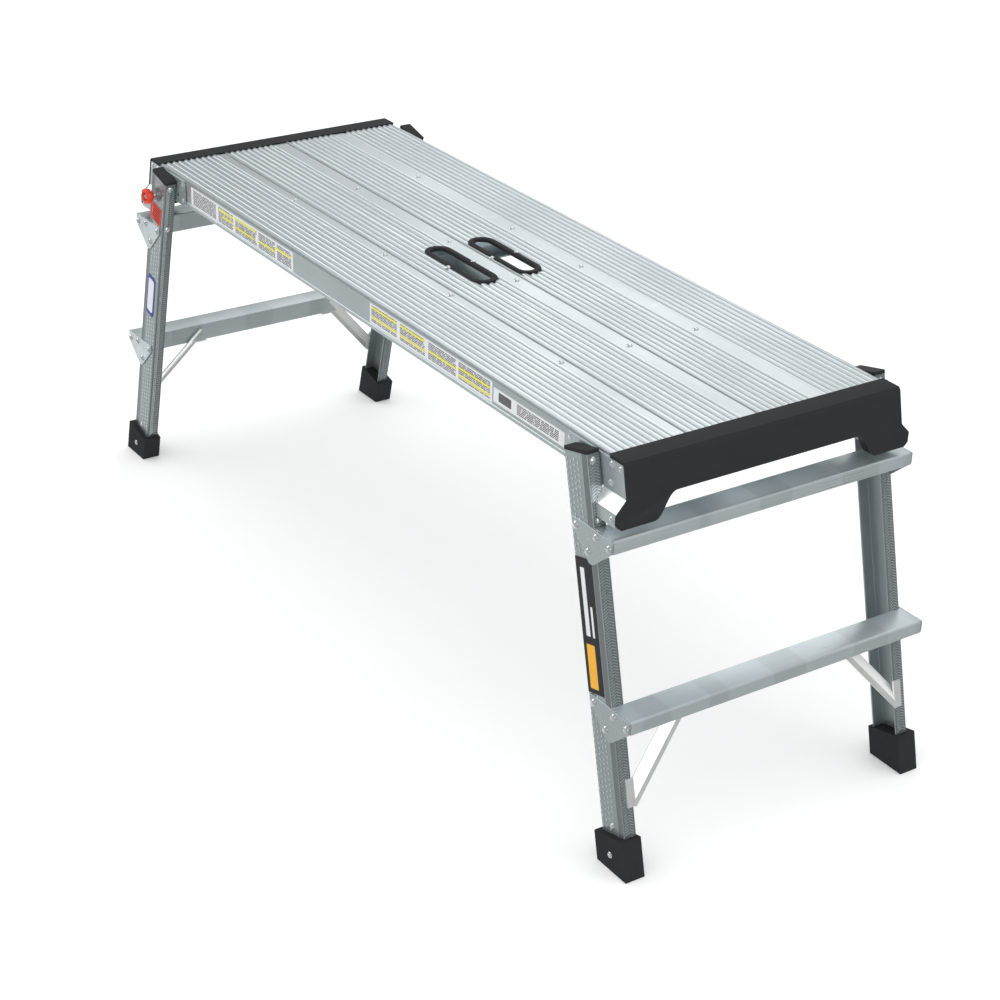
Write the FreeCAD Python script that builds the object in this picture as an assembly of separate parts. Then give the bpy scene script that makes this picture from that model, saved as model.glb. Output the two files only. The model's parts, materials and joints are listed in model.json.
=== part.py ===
import FreeCAD, Part
import math
import os

os.makedirs("parts", exist_ok=True)

V = FreeCAD.Vector

# Folding aluminium work platform. Millimetres, +Z up.
# The origin is on the floor under the middle of the deck. +X is the long axis, towards the
# near leg frame; the far leg frame is the near one turned half a turn about Z.

# ---- Deck ----
DECK_TOP = 508.0
DECK_HALF_LENGTH = 572.5
DECK_HALF_WIDTH = 202.0
RIB_PITCH = 9.55
RIB_HEIGHT = 1.6
RIB_TOP_WIDTH = 4.2
RIB_BASE_WIDTH = 5.8
LAND_DROP = 1.0          # flat riveting lands lie this far below the rib tops
PLANK_SKIN = 2.0
PLANK_FLANGE_DEPTH = 12.0
PLANK_WALL = 2.0
SKIRT_DEPTH = 40.0
SKIRT_FOOT = 12.0        # inward foot of the side skirt
PLANK_GAP = 0.5          # visible joint between neighbouring planks

# Joint lines across the width, and the number of ribs on each plank.
PLANK_EDGES = [-202.0, -95.5, 9.8, 111.5, 202.0]
PLANK_RIBS = [10, 9, 9, 9]
PLANK_NAMES = ["left_outer", "left_inner", "right_inner", "right_outer"]
SPINE_PLANK = "left_inner"   # its right edge carries a deep web under the middle of the deck
SPINE_FOOT = 14.0
OUTER_RIB_INSET = 2.9    # from the outer edge of the deck to the first rib's centre

CROSS_MEMBER_X = [-334.0, -83.5, 83.5, 334.0]
CROSS_FLANGE = 17.0
CROSS_DEPTH = 22.0
CROSS_WALL = 2.2
DECK_RIVET_Y = [-104.0, -1.0, 103.0]

# ---- Hand holes ----
HAND_HOLE_Y = 35.0
GROMMET_LENGTH = 148.0
GROMMET_WIDTH = 40.0
GROMMET_RIM = 1.6
HAND_HOLE_LENGTH = 134.0
HAND_HOLE_WIDTH = 27.0
GROMMET_WALL = 1.5
GROMMET_DEPTH = RIB_HEIGHT + PLANK_SKIN
GROMMET_RIVET_OFFSET = 20.0

# ---- Leg frames ----
SPLAY = 13.62            # lean of the leg frames from upright, degrees
FOOT_X = 654.0           # leg axis at the floor
LEG_WIDTH = 44.0
LEG_INNER_Y = 205.4
LEG_OUTER_Y = 223.2
LEG_WALL = 2.2
LEG_TOP = 514.0          # heights along the leg are measured from the floor, on the leg axis
LEG_BOTTOM = 8.0
LEG_CAP = 4.5
BOOT_HALF_WIDTH = 28.0
BOOT_INNER_Y = 203.0
BOOT_OUTER_Y = 231.0
BOOT_TOP = 45.0
BOOT_RIVET = 21.0
WEB_RIVET = 55.3         # rivet in the leg's web, just above the boot

# ---- Hinge and lock, in leg coordinates ----
PIVOT_OFFSET = -8.0
PIVOT_HEIGHT = 504.0
PIVOT_RADIUS = 5.0
PIN_CLEARANCE = 0.05
INSERT_BOTTOM = 428.0
INSERT_TOP = 511.0
FLANGE_RIVET_HEIGHTS = [436.0, 506.0]
FLANGE_RIVET_Y = 215.0
LOCK_HEIGHT = 487.0
LOCK_PIN_RADIUS = 3.5
FOLD_ANGLE = 90.0 + SPLAY
HOUSING_RADIUS = 8.0
HOUSING_END = 227.3
KNOB_RADIUS = 12.0
KNOB_NECK_RADIUS = 7.0
KNOB_START = 232.0
KNOB_NECK = 4.0
KNOB_LENGTH = 13.0
KNOB_LOBES = 6
KNOB_SCALLOP_RADIUS = 4.5
KNOB_SCALLOP_CENTRE = 14.5

# ---- Steps ----
STEP_TOPS = {"lower": 211.0, "upper": 422.0}
STEP_DEPTH = 39.3
STEP_LIP = 17.0
STEP_BACK = 30.0
STEP_WALL = 2.2
STEP_BACK_GAP = 0.2
STEP_TAB_DEPTH = 22.0
GUSSET_THICKNESS = 2.4
GUSSET_GAP = 0.1
# Gusset rivets, from the back top corner of the step: back on the web, front on the step,
# bottom on the web, outer on the step.
GUSSET_RIVETS = [(-31.0, -9.0), (8.0, -8.5), (-5.5, -32.5), (33.0, -11.5)]

# ---- Braces, in leg coordinates ----
BRACE_FOOT_Y = 204.0
BRACE_FOOT_HEIGHT = 82.2
BRACE_RUN = V(0, -65.0, 76.0)
BRACE_LENGTH = 150.0
BRACE_SHEET = 2.0
BRACE_FRONT = 26.4       # front face of the strut, from the leg's axis
BRACE_STRIP = 7.0        # flat strip along the strut's lower edge
BRACE_WING = 15.0        # the rest of its width, bent back from the strip
BRACE_BEND = 30.0        # degrees

# ---- Brackets and end caps ----
BRACKET_THICKNESS = 2.0
BRACKET_BACK = 487.0
BRACKET_TOP = 504.5
BRACKET_BOTTOM = 466.0
FLARE_OUT = 13.5
FLARE_BOTTOM = 450.5
STRIP_BOTTOM = 434.0
STOP_GAP = 0.3
SKIRT_RIVETS = [(495.5, 498.5), (495.5, 474.5)]
CAP_RIVETS = [(577.0, 498.0), (577.0, 475.5), (594.0, 498.0)]
STRIP_RIVET = (599.0, 442.0)
CAP_FACE_TOP_X = 602.0
CAP_FACE_X = 611.0
CAP_EDGE = 3.0           # bevel along the top of the face
CAP_KNEE_Z = 465.0
CAP_WALL = 4.0
CAP_TOP_THICKNESS = 3.2
CAP_BODY_HALF_WIDTH = 201.7
LOBE_BOTTOM = 431.5
LOBE_OUTER_Y = 217.5
LOBE_BACK_X = 597.0
LOBE_CHAMFER = 5.5
LOBE_INNER_FOOT = 165.0
LOBE_INNER_HEAD = 136.0
# Hollow of the +Y lobe, (y, z), open towards the leg.
LOBE_HOLLOW = [(170.0, 435.5), (212.0, 435.5), (212.0, 448.0), (199.5, 460.5), (148.0, 460.5),
               (159.0, 449.0)]

# ---- Rivets ----
RIVET_HEAD_RADIUS = 4.2
RIVET_HEAD_HEIGHT = 2.2
RIVET_SHANK_RADIUS = 2.4
RIVET_TAIL_RADIUS = 2.9
RIVET_TAIL_HEIGHT = 1.4
LOW_HEAD_HEIGHT = 1.2    # heads that the folding leg passes over

FOOT = V(FOOT_X, 0, 0)
Y_AXIS = V(0, 1, 0)
Z_AXIS = V(0, 0, 1)
REACH = 200.0            # how far cutting shapes run past the piece they cut


def box(x0, x1, y0, y1, z0, z1):
    return Part.makeBox(x1 - x0, y1 - y0, z1 - z0, V(x0, y0, z0))


def prism_x(points, x0, x1):
    """Outline of (y, z) points, extruded along X."""
    ring = [V(x0, y, z) for y, z in points]
    return Part.Face(Part.makePolygon(ring + [ring[0]])).extrude(V(x1 - x0, 0, 0))


def prism_y(points, y0, y1):
    """Outline of (x, z) points, extruded along Y."""
    ring = [V(x, y0, z) for x, z in points]
    return Part.Face(Part.makePolygon(ring + [ring[0]])).extrude(V(0, y1 - y0, 0))


def rod_y(x, z, radius, y0, y1):
    return Part.makeCylinder(radius, y1 - y0, V(x, y0, z), Y_AXIS)


def on_side(shape, side):
    """The shape is drawn on the +Y side; side -1 gives its mirror image."""
    if side > 0:
        return shape
    return shape.mirror(V(0, 0, 0), Y_AXIS)


def leg_to_rest(shape):
    """From leg coordinates (leg upright, axis through the origin) to the opened stance."""
    placed = shape.copy()
    placed.rotate(V(0, 0, 0), Y_AXIS, -SPLAY)
    placed.translate(FOOT)
    return placed


def leg_point(offset, height):
    """World (x, z) of a point in leg coordinates on the near frame."""
    turn = math.radians(SPLAY)
    x = FOOT_X + offset * math.cos(turn) - height * math.sin(turn)
    z = offset * math.sin(turn) + height * math.cos(turn)
    return x, z


def leg_front_x(z):
    """World x of the leg's outboard flange at a height."""
    turn = math.radians(SPLAY)
    return FOOT_X - z * math.tan(turn) + LEG_WIDTH / 2 / math.cos(turn)


def hand_of(side, end):
    """Word for a side of the object; the half turn to the far end swaps left and right."""
    placed = side if end == "near" else -side
    return "right" if placed > 0 else "left"


def at_end(shape, end):
    """The shape is drawn at the near end; the far end is half a turn about Z."""
    if end == "near":
        return shape
    turned = shape.copy()
    turned.rotate(V(0, 0, 0), Z_AXIS, 180)
    return turned


def save(name, shapes):
    solids = []
    for shape in shapes:
        solids.extend(shape.Solids)
    whole = solids[0] if len(solids) == 1 else Part.makeCompound(solids)
    whole.exportStep("parts/" + name + ".step")


def rivet(direction, face_point, grip, head_height=RIVET_HEAD_HEIGHT):
    """Domed rivet: head outside the face, shank through the grip, small upset tail behind."""
    dome_radius = (RIVET_HEAD_RADIUS**2 + head_height**2) / (2 * head_height)
    ball = Part.makeSphere(dome_radius, V(0, 0, head_height - dome_radius))
    head = ball.common(Part.makeCylinder(RIVET_HEAD_RADIUS, head_height))
    shank = Part.makeCylinder(RIVET_SHANK_RADIUS, grip, V(0, 0, -grip))
    tail = Part.makeCylinder(RIVET_TAIL_RADIUS, RIVET_TAIL_HEIGHT,
                             V(0, 0, -grip - RIVET_TAIL_HEIGHT))
    whole = head.fuse([shank, tail])
    whole.Placement = FreeCAD.Placement(face_point, FreeCAD.Rotation(Z_AXIS, direction))
    return whole


def bore(direction, face_point, depth):
    """Rivet hole, a shank wide, cut from a face inwards."""
    hole = Part.makeCylinder(RIVET_SHANK_RADIUS, depth + 2, V(0, 0, -depth - 1))
    hole.Placement = FreeCAD.Placement(face_point, FreeCAD.Rotation(Z_AXIS, direction))
    return hole


def buried_bore(direction, face_point, grip):
    """Rivet hole that also clears the upset tail, where the tail lies inside a moulding."""
    height = RIVET_TAIL_HEIGHT + 0.2
    pocket = Part.makeCylinder(RIVET_TAIL_RADIUS + 0.1, height, V(0, 0, -grip - height))
    pocket.Placement = FreeCAD.Placement(face_point, FreeCAD.Rotation(Z_AXIS, direction))
    return bore(direction, face_point, grip).fuse(pocket)


# ------------------------------------------------------------------ deck

def slot_shape(length, width, y, z0, z1):
    """Stadium-shaped solid with its long axis along X."""
    radius = width / 2
    straight = length / 2 - radius
    body = box(-straight, straight, y - radius, y + radius, z0, z1)
    ends = [Part.makeCylinder(radius, z1 - z0, V(x, y, z0)) for x in (-straight, straight)]
    return body.fuse(ends).removeSplitter()


def rib_centres(index):
    """Ribs stand on the pitch, counted from the plank's plain outer side."""
    y0 = PLANK_EDGES[index]
    y1 = PLANK_EDGES[index + 1]
    count = PLANK_RIBS[index]
    if index == len(PLANK_RIBS) - 1:
        last = y1 - OUTER_RIB_INSET - 3.6
        return [last - RIB_PITCH * i for i in reversed(range(count))]
    first = y0 + OUTER_RIB_INSET
    return [first + RIB_PITCH * i for i in range(count)]


def plank(index):
    """Extruded plank: ribbed skin, flat land on its right edge, flanges or a skirt below."""
    y0 = PLANK_EDGES[index]
    y1 = PLANK_EDGES[index + 1]
    is_first = index == 0
    is_last = index == len(PLANK_RIBS) - 1
    if not is_first:
        y0 += PLANK_GAP / 2
    if not is_last:
        y1 -= PLANK_GAP / 2
    valley = DECK_TOP - RIB_HEIGHT
    underside = valley - PLANK_SKIN
    outline = [(y0, underside), (y0, valley)]
    for centre in rib_centres(index):
        outline.append((max(centre - RIB_BASE_WIDTH / 2, y0), valley))
        outline.append((centre - RIB_TOP_WIDTH / 2, DECK_TOP))
        outline.append((centre + RIB_TOP_WIDTH / 2, DECK_TOP))
        outline.append((centre + RIB_BASE_WIDTH / 2, valley))
    if is_last:
        outline.append((y1, valley))
    else:
        land = DECK_TOP - LAND_DROP
        land_start = outline[-1][0] + 0.4
        outline.append((land_start, valley))
        outline.append((land_start + 0.6, land))
        outline.append((y1, land))
    outline.append((y1, underside))
    pieces = [prism_x(outline, -DECK_HALF_LENGTH, DECK_HALF_LENGTH)]
    flange_bottom = underside - PLANK_FLANGE_DEPTH
    skirt_bottom = DECK_TOP - SKIRT_DEPTH
    for edge, inward, outer in ((y0, 1, is_first), (y1, -1, is_last)):
        low = skirt_bottom if outer else flange_bottom
        wall = sorted([edge, edge + inward * PLANK_WALL])
        pieces.append(box(-DECK_HALF_LENGTH, DECK_HALF_LENGTH, wall[0], wall[1], low, underside))
        if outer:
            foot = sorted([edge, edge + inward * SKIRT_FOOT])
            pieces.append(box(-DECK_HALF_LENGTH, DECK_HALF_LENGTH, foot[0], foot[1],
                              low, low + PLANK_WALL))
    shape = pieces[0].fuse(pieces[1:])
    if PLANK_NAMES[index] == SPINE_PLANK:
        web = box(-DECK_HALF_LENGTH, DECK_HALF_LENGTH, y1 - PLANK_WALL, y1, skirt_bottom, underside)
        foot = box(-DECK_HALF_LENGTH, DECK_HALF_LENGTH, y1 - SPINE_FOOT, y1,
                   skirt_bottom, skirt_bottom + PLANK_WALL)
        shape = shape.fuse([web, foot])
        # Windows let the cross members through the web.
        half = CROSS_FLANGE / 2 + 0.5
        shape = shape.cut([box(x - half, x + half, y1 - PLANK_WALL - 1, y1 + 1,
                               skirt_bottom + PLANK_WALL, flange_bottom) for x in CROSS_MEMBER_X])
    return shape.removeSplitter()


def cross_member(x):
    """C-channel under the planks, open towards the middle of the deck."""
    towards_middle = -1 if x > 0 else 1
    top = DECK_TOP - RIB_HEIGHT - PLANK_SKIN - PLANK_FLANGE_DEPTH
    half = DECK_HALF_WIDTH - PLANK_WALL
    web = sorted([x - towards_middle * (CROSS_FLANGE / 2 - CROSS_WALL),
                  x - towards_middle * CROSS_FLANGE / 2])
    flange = [x - CROSS_FLANGE / 2, x + CROSS_FLANGE / 2]
    low = top - CROSS_DEPTH
    body = box(web[0], web[1], -half, half, low, top)
    upper = box(flange[0], flange[1], -half, half, top - CROSS_WALL, top)
    foot_inset = SKIRT_FOOT - PLANK_WALL
    lower = box(flange[0], flange[1], -half + foot_inset, half - foot_inset, low, low + CROSS_WALL)
    return body.fuse([upper, lower]).removeSplitter()


def make_deck():
    planks = [plank(i) for i in range(len(PLANK_NAMES))]
    beams = [cross_member(x) for x in CROSS_MEMBER_X]
    land = DECK_TOP - LAND_DROP
    spacer_top = DECK_TOP - RIB_HEIGHT - PLANK_SKIN
    grip = land - (spacer_top - PLANK_FLANGE_DEPTH - CROSS_WALL)
    rivets = []
    holes = []
    for x in CROSS_MEMBER_X:
        for y in DECK_RIVET_Y:
            rivets.append(rivet(Z_AXIS, V(x, y, land), grip))
            holes.append(bore(Z_AXIS, V(x, y, land), grip))
    grommets = []
    grommet_rivets = []
    for side in (-1, 1):
        y = side * HAND_HOLE_Y
        hand_hole = slot_shape(HAND_HOLE_LENGTH, HAND_HOLE_WIDTH, y,
                               DECK_TOP - REACH, DECK_TOP + REACH)
        outer_wall = slot_shape(HAND_HOLE_LENGTH, HAND_HOLE_WIDTH, y,
                                DECK_TOP - GROMMET_DEPTH, DECK_TOP)
        inner = slot_shape(HAND_HOLE_LENGTH - 2 * GROMMET_WALL,
                           HAND_HOLE_WIDTH - 2 * GROMMET_WALL, y,
                           DECK_TOP - REACH, DECK_TOP + REACH)
        rim = slot_shape(GROMMET_LENGTH, GROMMET_WIDTH, y, DECK_TOP, DECK_TOP + GROMMET_RIM)
        rim_edge = [e for e in rim.Edges if abs(e.BoundBox.ZMin - DECK_TOP - GROMMET_RIM) < 0.01]
        rim = rim.makeFillet(0.9, rim_edge)
        ring = rim.fuse(outer_wall).cut(inner)
        planks = [p.cut(hand_hole) if p.BoundBox.YMin < y < p.BoundBox.YMax else p
                  for p in planks]
        for edge in (-1, 1):
            at = V(0, y + edge * GROMMET_RIVET_OFFSET, DECK_TOP)
            grommet_rivets.append(rivet(Z_AXIS, at, RIB_HEIGHT + PLANK_SKIN))
            holes.append(bore(Z_AXIS, at, RIB_HEIGHT + PLANK_SKIN))
            ring = ring.cut(Part.makeCylinder(RIVET_HEAD_RADIUS + 0.2, 6, at - V(0, 0, 0.01)))
        grommets.append(ring)
    tools = Part.makeCompound(holes)
    planks = [p.cut(tools) for p in planks]
    beams = [b.cut(tools) for b in beams]
    return planks, beams, rivets, grommets, grommet_rivets


# ------------------------------------------------------------------ brackets, pins, end caps

def cap_profile():
    """Side profile (x, z) of the end cap: flat top, leaning face, upright lower face."""
    return [(DECK_HALF_LENGTH, CAP_KNEE_Z - 1), (DECK_HALF_LENGTH, DECK_TOP),
            (CAP_FACE_TOP_X - CAP_EDGE, DECK_TOP), (CAP_FACE_TOP_X, DECK_TOP - CAP_EDGE),
            (CAP_FACE_X, CAP_KNEE_Z), (CAP_FACE_X, LOBE_BOTTOM),
            (LOBE_BACK_X, LOBE_BOTTOM), (LOBE_BACK_X, CAP_KNEE_Z - 1)]


def cap_front_outline():
    """Front outline (y, z) of the cap, from its top down round the two lobes."""
    half = DECK_HALF_WIDTH + BRACKET_THICKNESS
    head = CAP_KNEE_Z - 1
    right = [(half, DECK_TOP + 1), (half, head),
             (LOBE_OUTER_Y, head - FLARE_OUT),
             (LOBE_OUTER_Y, LOBE_BOTTOM + LOBE_CHAMFER),
             (LOBE_OUTER_Y - LOBE_CHAMFER, LOBE_BOTTOM), (LOBE_INNER_FOOT, LOBE_BOTTOM)]
    # The lobe's inner side rises in a gentle S.
    steps = 8
    swing = 4.0
    for i in range(1, steps):
        share = i / steps
        y = LOBE_INNER_FOOT + (LOBE_INNER_HEAD - LOBE_INNER_FOOT) * share
        z = LOBE_BOTTOM + (head - LOBE_BOTTOM) * share
        right.append((y, z - swing * math.sin(2 * math.pi * share)))
    right.append((LOBE_INNER_HEAD, head))
    left = [(-y, z) for y, z in reversed(right)]
    return right + left


def end_cap():
    """Hollow moulding across the deck's end, with two hollow lobes and a gap between them."""
    back = DECK_HALF_LENGTH
    past = CAP_FACE_X + CAP_WALL
    shell = prism_y(cap_profile(), -REACH - CAP_WALL * 5, REACH + CAP_WALL * 5)
    shell = shell.common(prism_x(cap_front_outline(), back, past))
    ceiling = DECK_TOP - CAP_TOP_THICKNESS
    face_top = CAP_FACE_TOP_X - CAP_WALL
    face_low = CAP_FACE_X - CAP_WALL
    floor = CAP_KNEE_Z + CAP_WALL
    inside = [(back - 1, floor), (back - 1, ceiling), (face_top, ceiling), (face_low, floor)]
    half = CAP_BODY_HALF_WIDTH - CAP_WALL
    shell = shell.cut(prism_y(inside, -half, half))
    # Room for the bracket beside the body: under the top and behind the face.
    beside = [(back - 1, LOBE_BOTTOM - 1), (back - 1, ceiling), (face_top, ceiling),
              (face_low, CAP_KNEE_Z), (face_low, LOBE_BOTTOM - 1)]
    strip_face = LOBE_OUTER_Y - BRACKET_THICKNESS - 0.1
    outside = [(CAP_BODY_HALF_WIDTH, DECK_TOP), (LOBE_OUTER_Y + 1, DECK_TOP),
               (LOBE_OUTER_Y + 1, LOBE_BOTTOM - 1), (strip_face, LOBE_BOTTOM - 1),
               (strip_face, FLARE_BOTTOM - BRACKET_THICKNESS),
               (CAP_BODY_HALF_WIDTH, BRACKET_BOTTOM - BRACKET_THICKNESS)]
    room = prism_y(beside, 0, LOBE_OUTER_Y + 1).common(prism_x(outside, back - 1, past))
    hollow = prism_x(LOBE_HOLLOW, LOBE_BACK_X - 1, face_low)
    for side in (-1, 1):
        shell = shell.cut([on_side(room, side), on_side(hollow, side)])
    return shell.removeSplitter()


def bracket():
    """Bent sheet bracket on the +Y skirt at the near end: plate, 45 degree flare, stop strip."""
    inner = DECK_HALF_WIDTH
    outer = inner + BRACKET_THICKNESS
    gap = 0.3
    front_top = CAP_FACE_TOP_X - CAP_WALL - gap
    front_low = CAP_FACE_X - CAP_WALL - gap
    plate = prism_y([(BRACKET_BACK, BRACKET_BOTTOM), (BRACKET_BACK, BRACKET_TOP),
                     (front_top, BRACKET_TOP), (front_low, BRACKET_BOTTOM)], inner, outer)
    flare = prism_x([(inner, BRACKET_BOTTOM), (outer, BRACKET_BOTTOM),
                     (outer + FLARE_OUT, FLARE_BOTTOM), (outer + FLARE_OUT, STRIP_BOTTOM),
                     (inner + FLARE_OUT, STRIP_BOTTOM), (inner + FLARE_OUT, FLARE_BOTTOM - 0.8)],
                    BRACKET_BACK, front_low)
    leg_room = leg_to_rest(box(-REACH, LEG_WIDTH / 2 + STOP_GAP, inner - 1, LEG_OUTER_Y,
                               LOCK_HEIGHT - REACH, LOCK_HEIGHT + REACH))
    return plate.fuse(flare.cut(leg_room)).removeSplitter()


def folded_lock_point():
    """Where the lock pin stands beside the bracket when the frame is folded."""
    pivot = leg_point(PIVOT_OFFSET, PIVOT_HEIGHT)
    lock = leg_point(0, LOCK_HEIGHT)
    turn = math.radians(FOLD_ANGLE)
    dx = lock[0] - pivot[0]
    dz = lock[1] - pivot[1]
    return (pivot[0] + dx * math.cos(turn) + dz * math.sin(turn),
            pivot[1] - dx * math.sin(turn) + dz * math.cos(turn))


def pivot_pin():
    """Headed hinge pin through the +Y skirt and bracket into the leg's insert."""
    x, z = leg_point(PIVOT_OFFSET, PIVOT_HEIGHT)
    inside = DECK_HALF_WIDTH - PLANK_WALL
    head = rod_y(x, z, PIVOT_RADIUS + 3, inside - 3, inside)
    shank = rod_y(x, z, PIVOT_RADIUS, inside, LEG_OUTER_Y - LEG_WALL - 2)
    return head.fuse(shank)


def bracket_fixings():
    """Rivets of the +Y bracket at the near end, and the bore each one needs."""
    face = DECK_HALF_WIDTH + BRACKET_THICKNESS
    skirt_grip = BRACKET_THICKNESS + PLANK_WALL
    cap_grip = face - CAP_BODY_HALF_WIDTH + CAP_WALL
    strip_face = face + FLARE_OUT
    strip_grip = strip_face - max(y for y, z in LOBE_HOLLOW)
    places = [(V(x, face, z), skirt_grip, LOW_HEAD_HEIGHT) for x, z in SKIRT_RIVETS]
    places += [(V(x, face, z), cap_grip, RIVET_HEAD_HEIGHT) for x, z in CAP_RIVETS]
    places.append((V(STRIP_RIVET[0], strip_face, STRIP_RIVET[1]), strip_grip, RIVET_HEAD_HEIGHT))
    rivets = [rivet(Y_AXIS, at, grip, head) for at, grip, head in places]
    bores = [bore(Y_AXIS, at, grip) for at, grip, head in places]
    return rivets, bores


def make_ends(planks):
    """Brackets, end caps, rivets and hinge pins at both ends; drills the skirts for them."""
    side_rivets, side_bores = bracket_fixings()
    pin_holes = [(leg_point(PIVOT_OFFSET, PIVOT_HEIGHT), PIVOT_RADIUS)]
    lock_radius = LOCK_PIN_RADIUS + PIN_CLEARANCE
    lock_holes = [(leg_point(0, LOCK_HEIGHT), lock_radius), (folded_lock_point(), lock_radius)]
    hole_start = DECK_HALF_WIDTH - PLANK_WALL * 2
    hole_end = LEG_INNER_Y
    pieces = {}
    rivets = []
    pins = []
    drills = []
    cap = end_cap()
    for side in (-1, 1):
        # The lock is on the +Y leg only.
        holes = pin_holes + lock_holes if side > 0 else pin_holes
        tools = [rod_y(at[0], at[1], radius, hole_start, hole_end) for at, radius in holes]
        drill = on_side(Part.makeCompound(tools + side_bores), side)
        plate = on_side(bracket(), side).cut(drill)
        cap = cap.cut(drill)
        for end in ("near", "far"):
            pieces["bracket_" + end + "_" + hand_of(side, end)] = at_end(plate, end)
            rivets.extend(at_end(on_side(r, side), end) for r in side_rivets)
            pins.append(at_end(on_side(pivot_pin(), side), end))
            drills.append(at_end(drill, end))
    for end in ("near", "far"):
        pieces["end_cap_" + end] = at_end(cap, end)
    cutter = Part.makeCompound(drills)
    for index in (0, len(planks) - 1):
        planks[index] = planks[index].cut(cutter)
    return pieces, rivets, pins


# ------------------------------------------------------------------ leg frames

def leg(has_lock):
    """C-channel leg on the +Y side, open towards the deck, in leg coordinates."""
    half = LEG_WIDTH / 2
    outer = box(-half, half, LEG_INNER_Y, LEG_OUTER_Y, LEG_BOTTOM, LEG_TOP)
    inside = box(-half + LEG_WALL, half - LEG_WALL, LEG_INNER_Y - 1, LEG_OUTER_Y - LEG_WALL,
                 LEG_BOTTOM - 1, LEG_TOP + 1)
    corners = [e for e in outer.Edges if e.BoundBox.ZLength > 100
               and abs(e.BoundBox.YMin - LEG_OUTER_Y) < 0.01]
    channel = outer.makeFillet(1.2, corners).cut(inside)
    if has_lock:
        channel = channel.cut(rod_y(0, LOCK_HEIGHT, HOUSING_RADIUS, 200, 230))
    return channel


def hinge_insert(has_lock):
    """Moulded block inside the leg's top that carries the pin bore and the lock."""
    half = LEG_WIDTH / 2 - LEG_WALL
    block = box(-half, half, LEG_INNER_Y, LEG_OUTER_Y - LEG_WALL, INSERT_BOTTOM, INSERT_TOP)
    block = block.cut(rod_y(PIVOT_OFFSET, PIVOT_HEIGHT, PIVOT_RADIUS + PIN_CLEARANCE,
                            LEG_INNER_Y - 1, LEG_OUTER_Y - LEG_WALL - 1.5))
    if has_lock:
        block = block.cut(rod_y(0, LOCK_HEIGHT, HOUSING_RADIUS, LEG_INNER_Y - 1, LEG_OUTER_Y))
    # Weight-saving pockets, open towards the deck.
    for low in (INSERT_BOTTOM + 4, INSERT_BOTTOM + 26):
        block = block.cut(box(-half + 4, half - 4, LEG_INNER_Y - 1, LEG_OUTER_Y - 6,
                              low + 8, low + 20))
    return block


def leg_cap():
    """Black plug on the leg's top end."""
    half = LEG_WIDTH / 2 + 0.4
    plate = box(-half, half, LEG_INNER_Y - 0.1, LEG_OUTER_Y + 0.4, LEG_TOP, LEG_TOP + LEG_CAP)
    top_edges = [e for e in plate.Edges if abs(e.BoundBox.ZMin - LEG_TOP - LEG_CAP) < 0.01]
    plate = plate.makeFillet(1.0, top_edges)
    inner = LEG_WIDTH / 2 - LEG_WALL
    plug = box(-inner, inner, LEG_INNER_Y, LEG_OUTER_Y - LEG_WALL, INSERT_TOP, LEG_TOP)
    return plate.fuse(plug)


def boot():
    """Rubber boot around the leg's foot; its sole is flat on the floor when opened."""
    body = box(-BOOT_HALF_WIDTH, BOOT_HALF_WIDTH, BOOT_INNER_Y, BOOT_OUTER_Y, -BOOT_TOP, BOOT_TOP)
    uprights = [e for e in body.Edges if e.BoundBox.ZLength > BOOT_TOP]
    body = body.makeFillet(2.5, uprights)
    rim = [e for e in body.Edges if abs(e.BoundBox.ZMin - BOOT_TOP) < 0.01]
    body = body.makeFillet(1.2, rim)
    floor = box(FOOT_X - REACH, FOOT_X + REACH, 0, BOOT_OUTER_Y + REACH, -REACH, 0)
    return leg_to_rest(body).cut(floor)


def step(top):
    """Formed step: tread, front lip, back flange along the legs, tabs folded down at the ends."""
    back = leg_front_x(top) + STEP_BACK_GAP
    front = back + STEP_DEPTH
    half = LEG_OUTER_Y
    lean = math.tan(math.radians(SPLAY))
    wall = STEP_WALL
    low = top - STEP_BACK
    section = [(back, top), (front - 2, top), (front, top - 2), (front, top - STEP_LIP),
               (front - wall, top - STEP_LIP), (front - wall, top - wall - 1),
               (front - wall - 1, top - wall), (back + wall * (1 + lean), top - wall),
               (back + STEP_BACK * lean + wall, low), (back + STEP_BACK * lean, low)]
    body = prism_y(section, -half, half)
    tabs = []
    for side in (-1, 1):
        tab = prism_y([(back + 4, top - 1), (front - 1, top - 1), (front - 1, top - STEP_LIP),
                       (back + 9.5, top - STEP_TAB_DEPTH)], half - wall, half)
        tabs.append(on_side(tab, side))
    return body.fuse(tabs).removeSplitter()


def gusset(top):
    """Flat corner plate outside the web, joining the leg and the end of a step."""
    back = leg_front_x(top) + STEP_BACK_GAP
    y0 = LEG_OUTER_Y + GUSSET_GAP
    outline = [(-38, 0), (38.2, 0), (39.2, -1.5), (39.2, -16), (7, -44), (2, -46), (-3.5, -45),
               (-38, -11)]
    plate = prism_y([(back + x, top + z) for x, z in outline], y0, y0 + GUSSET_THICKNESS)
    return plate


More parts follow.
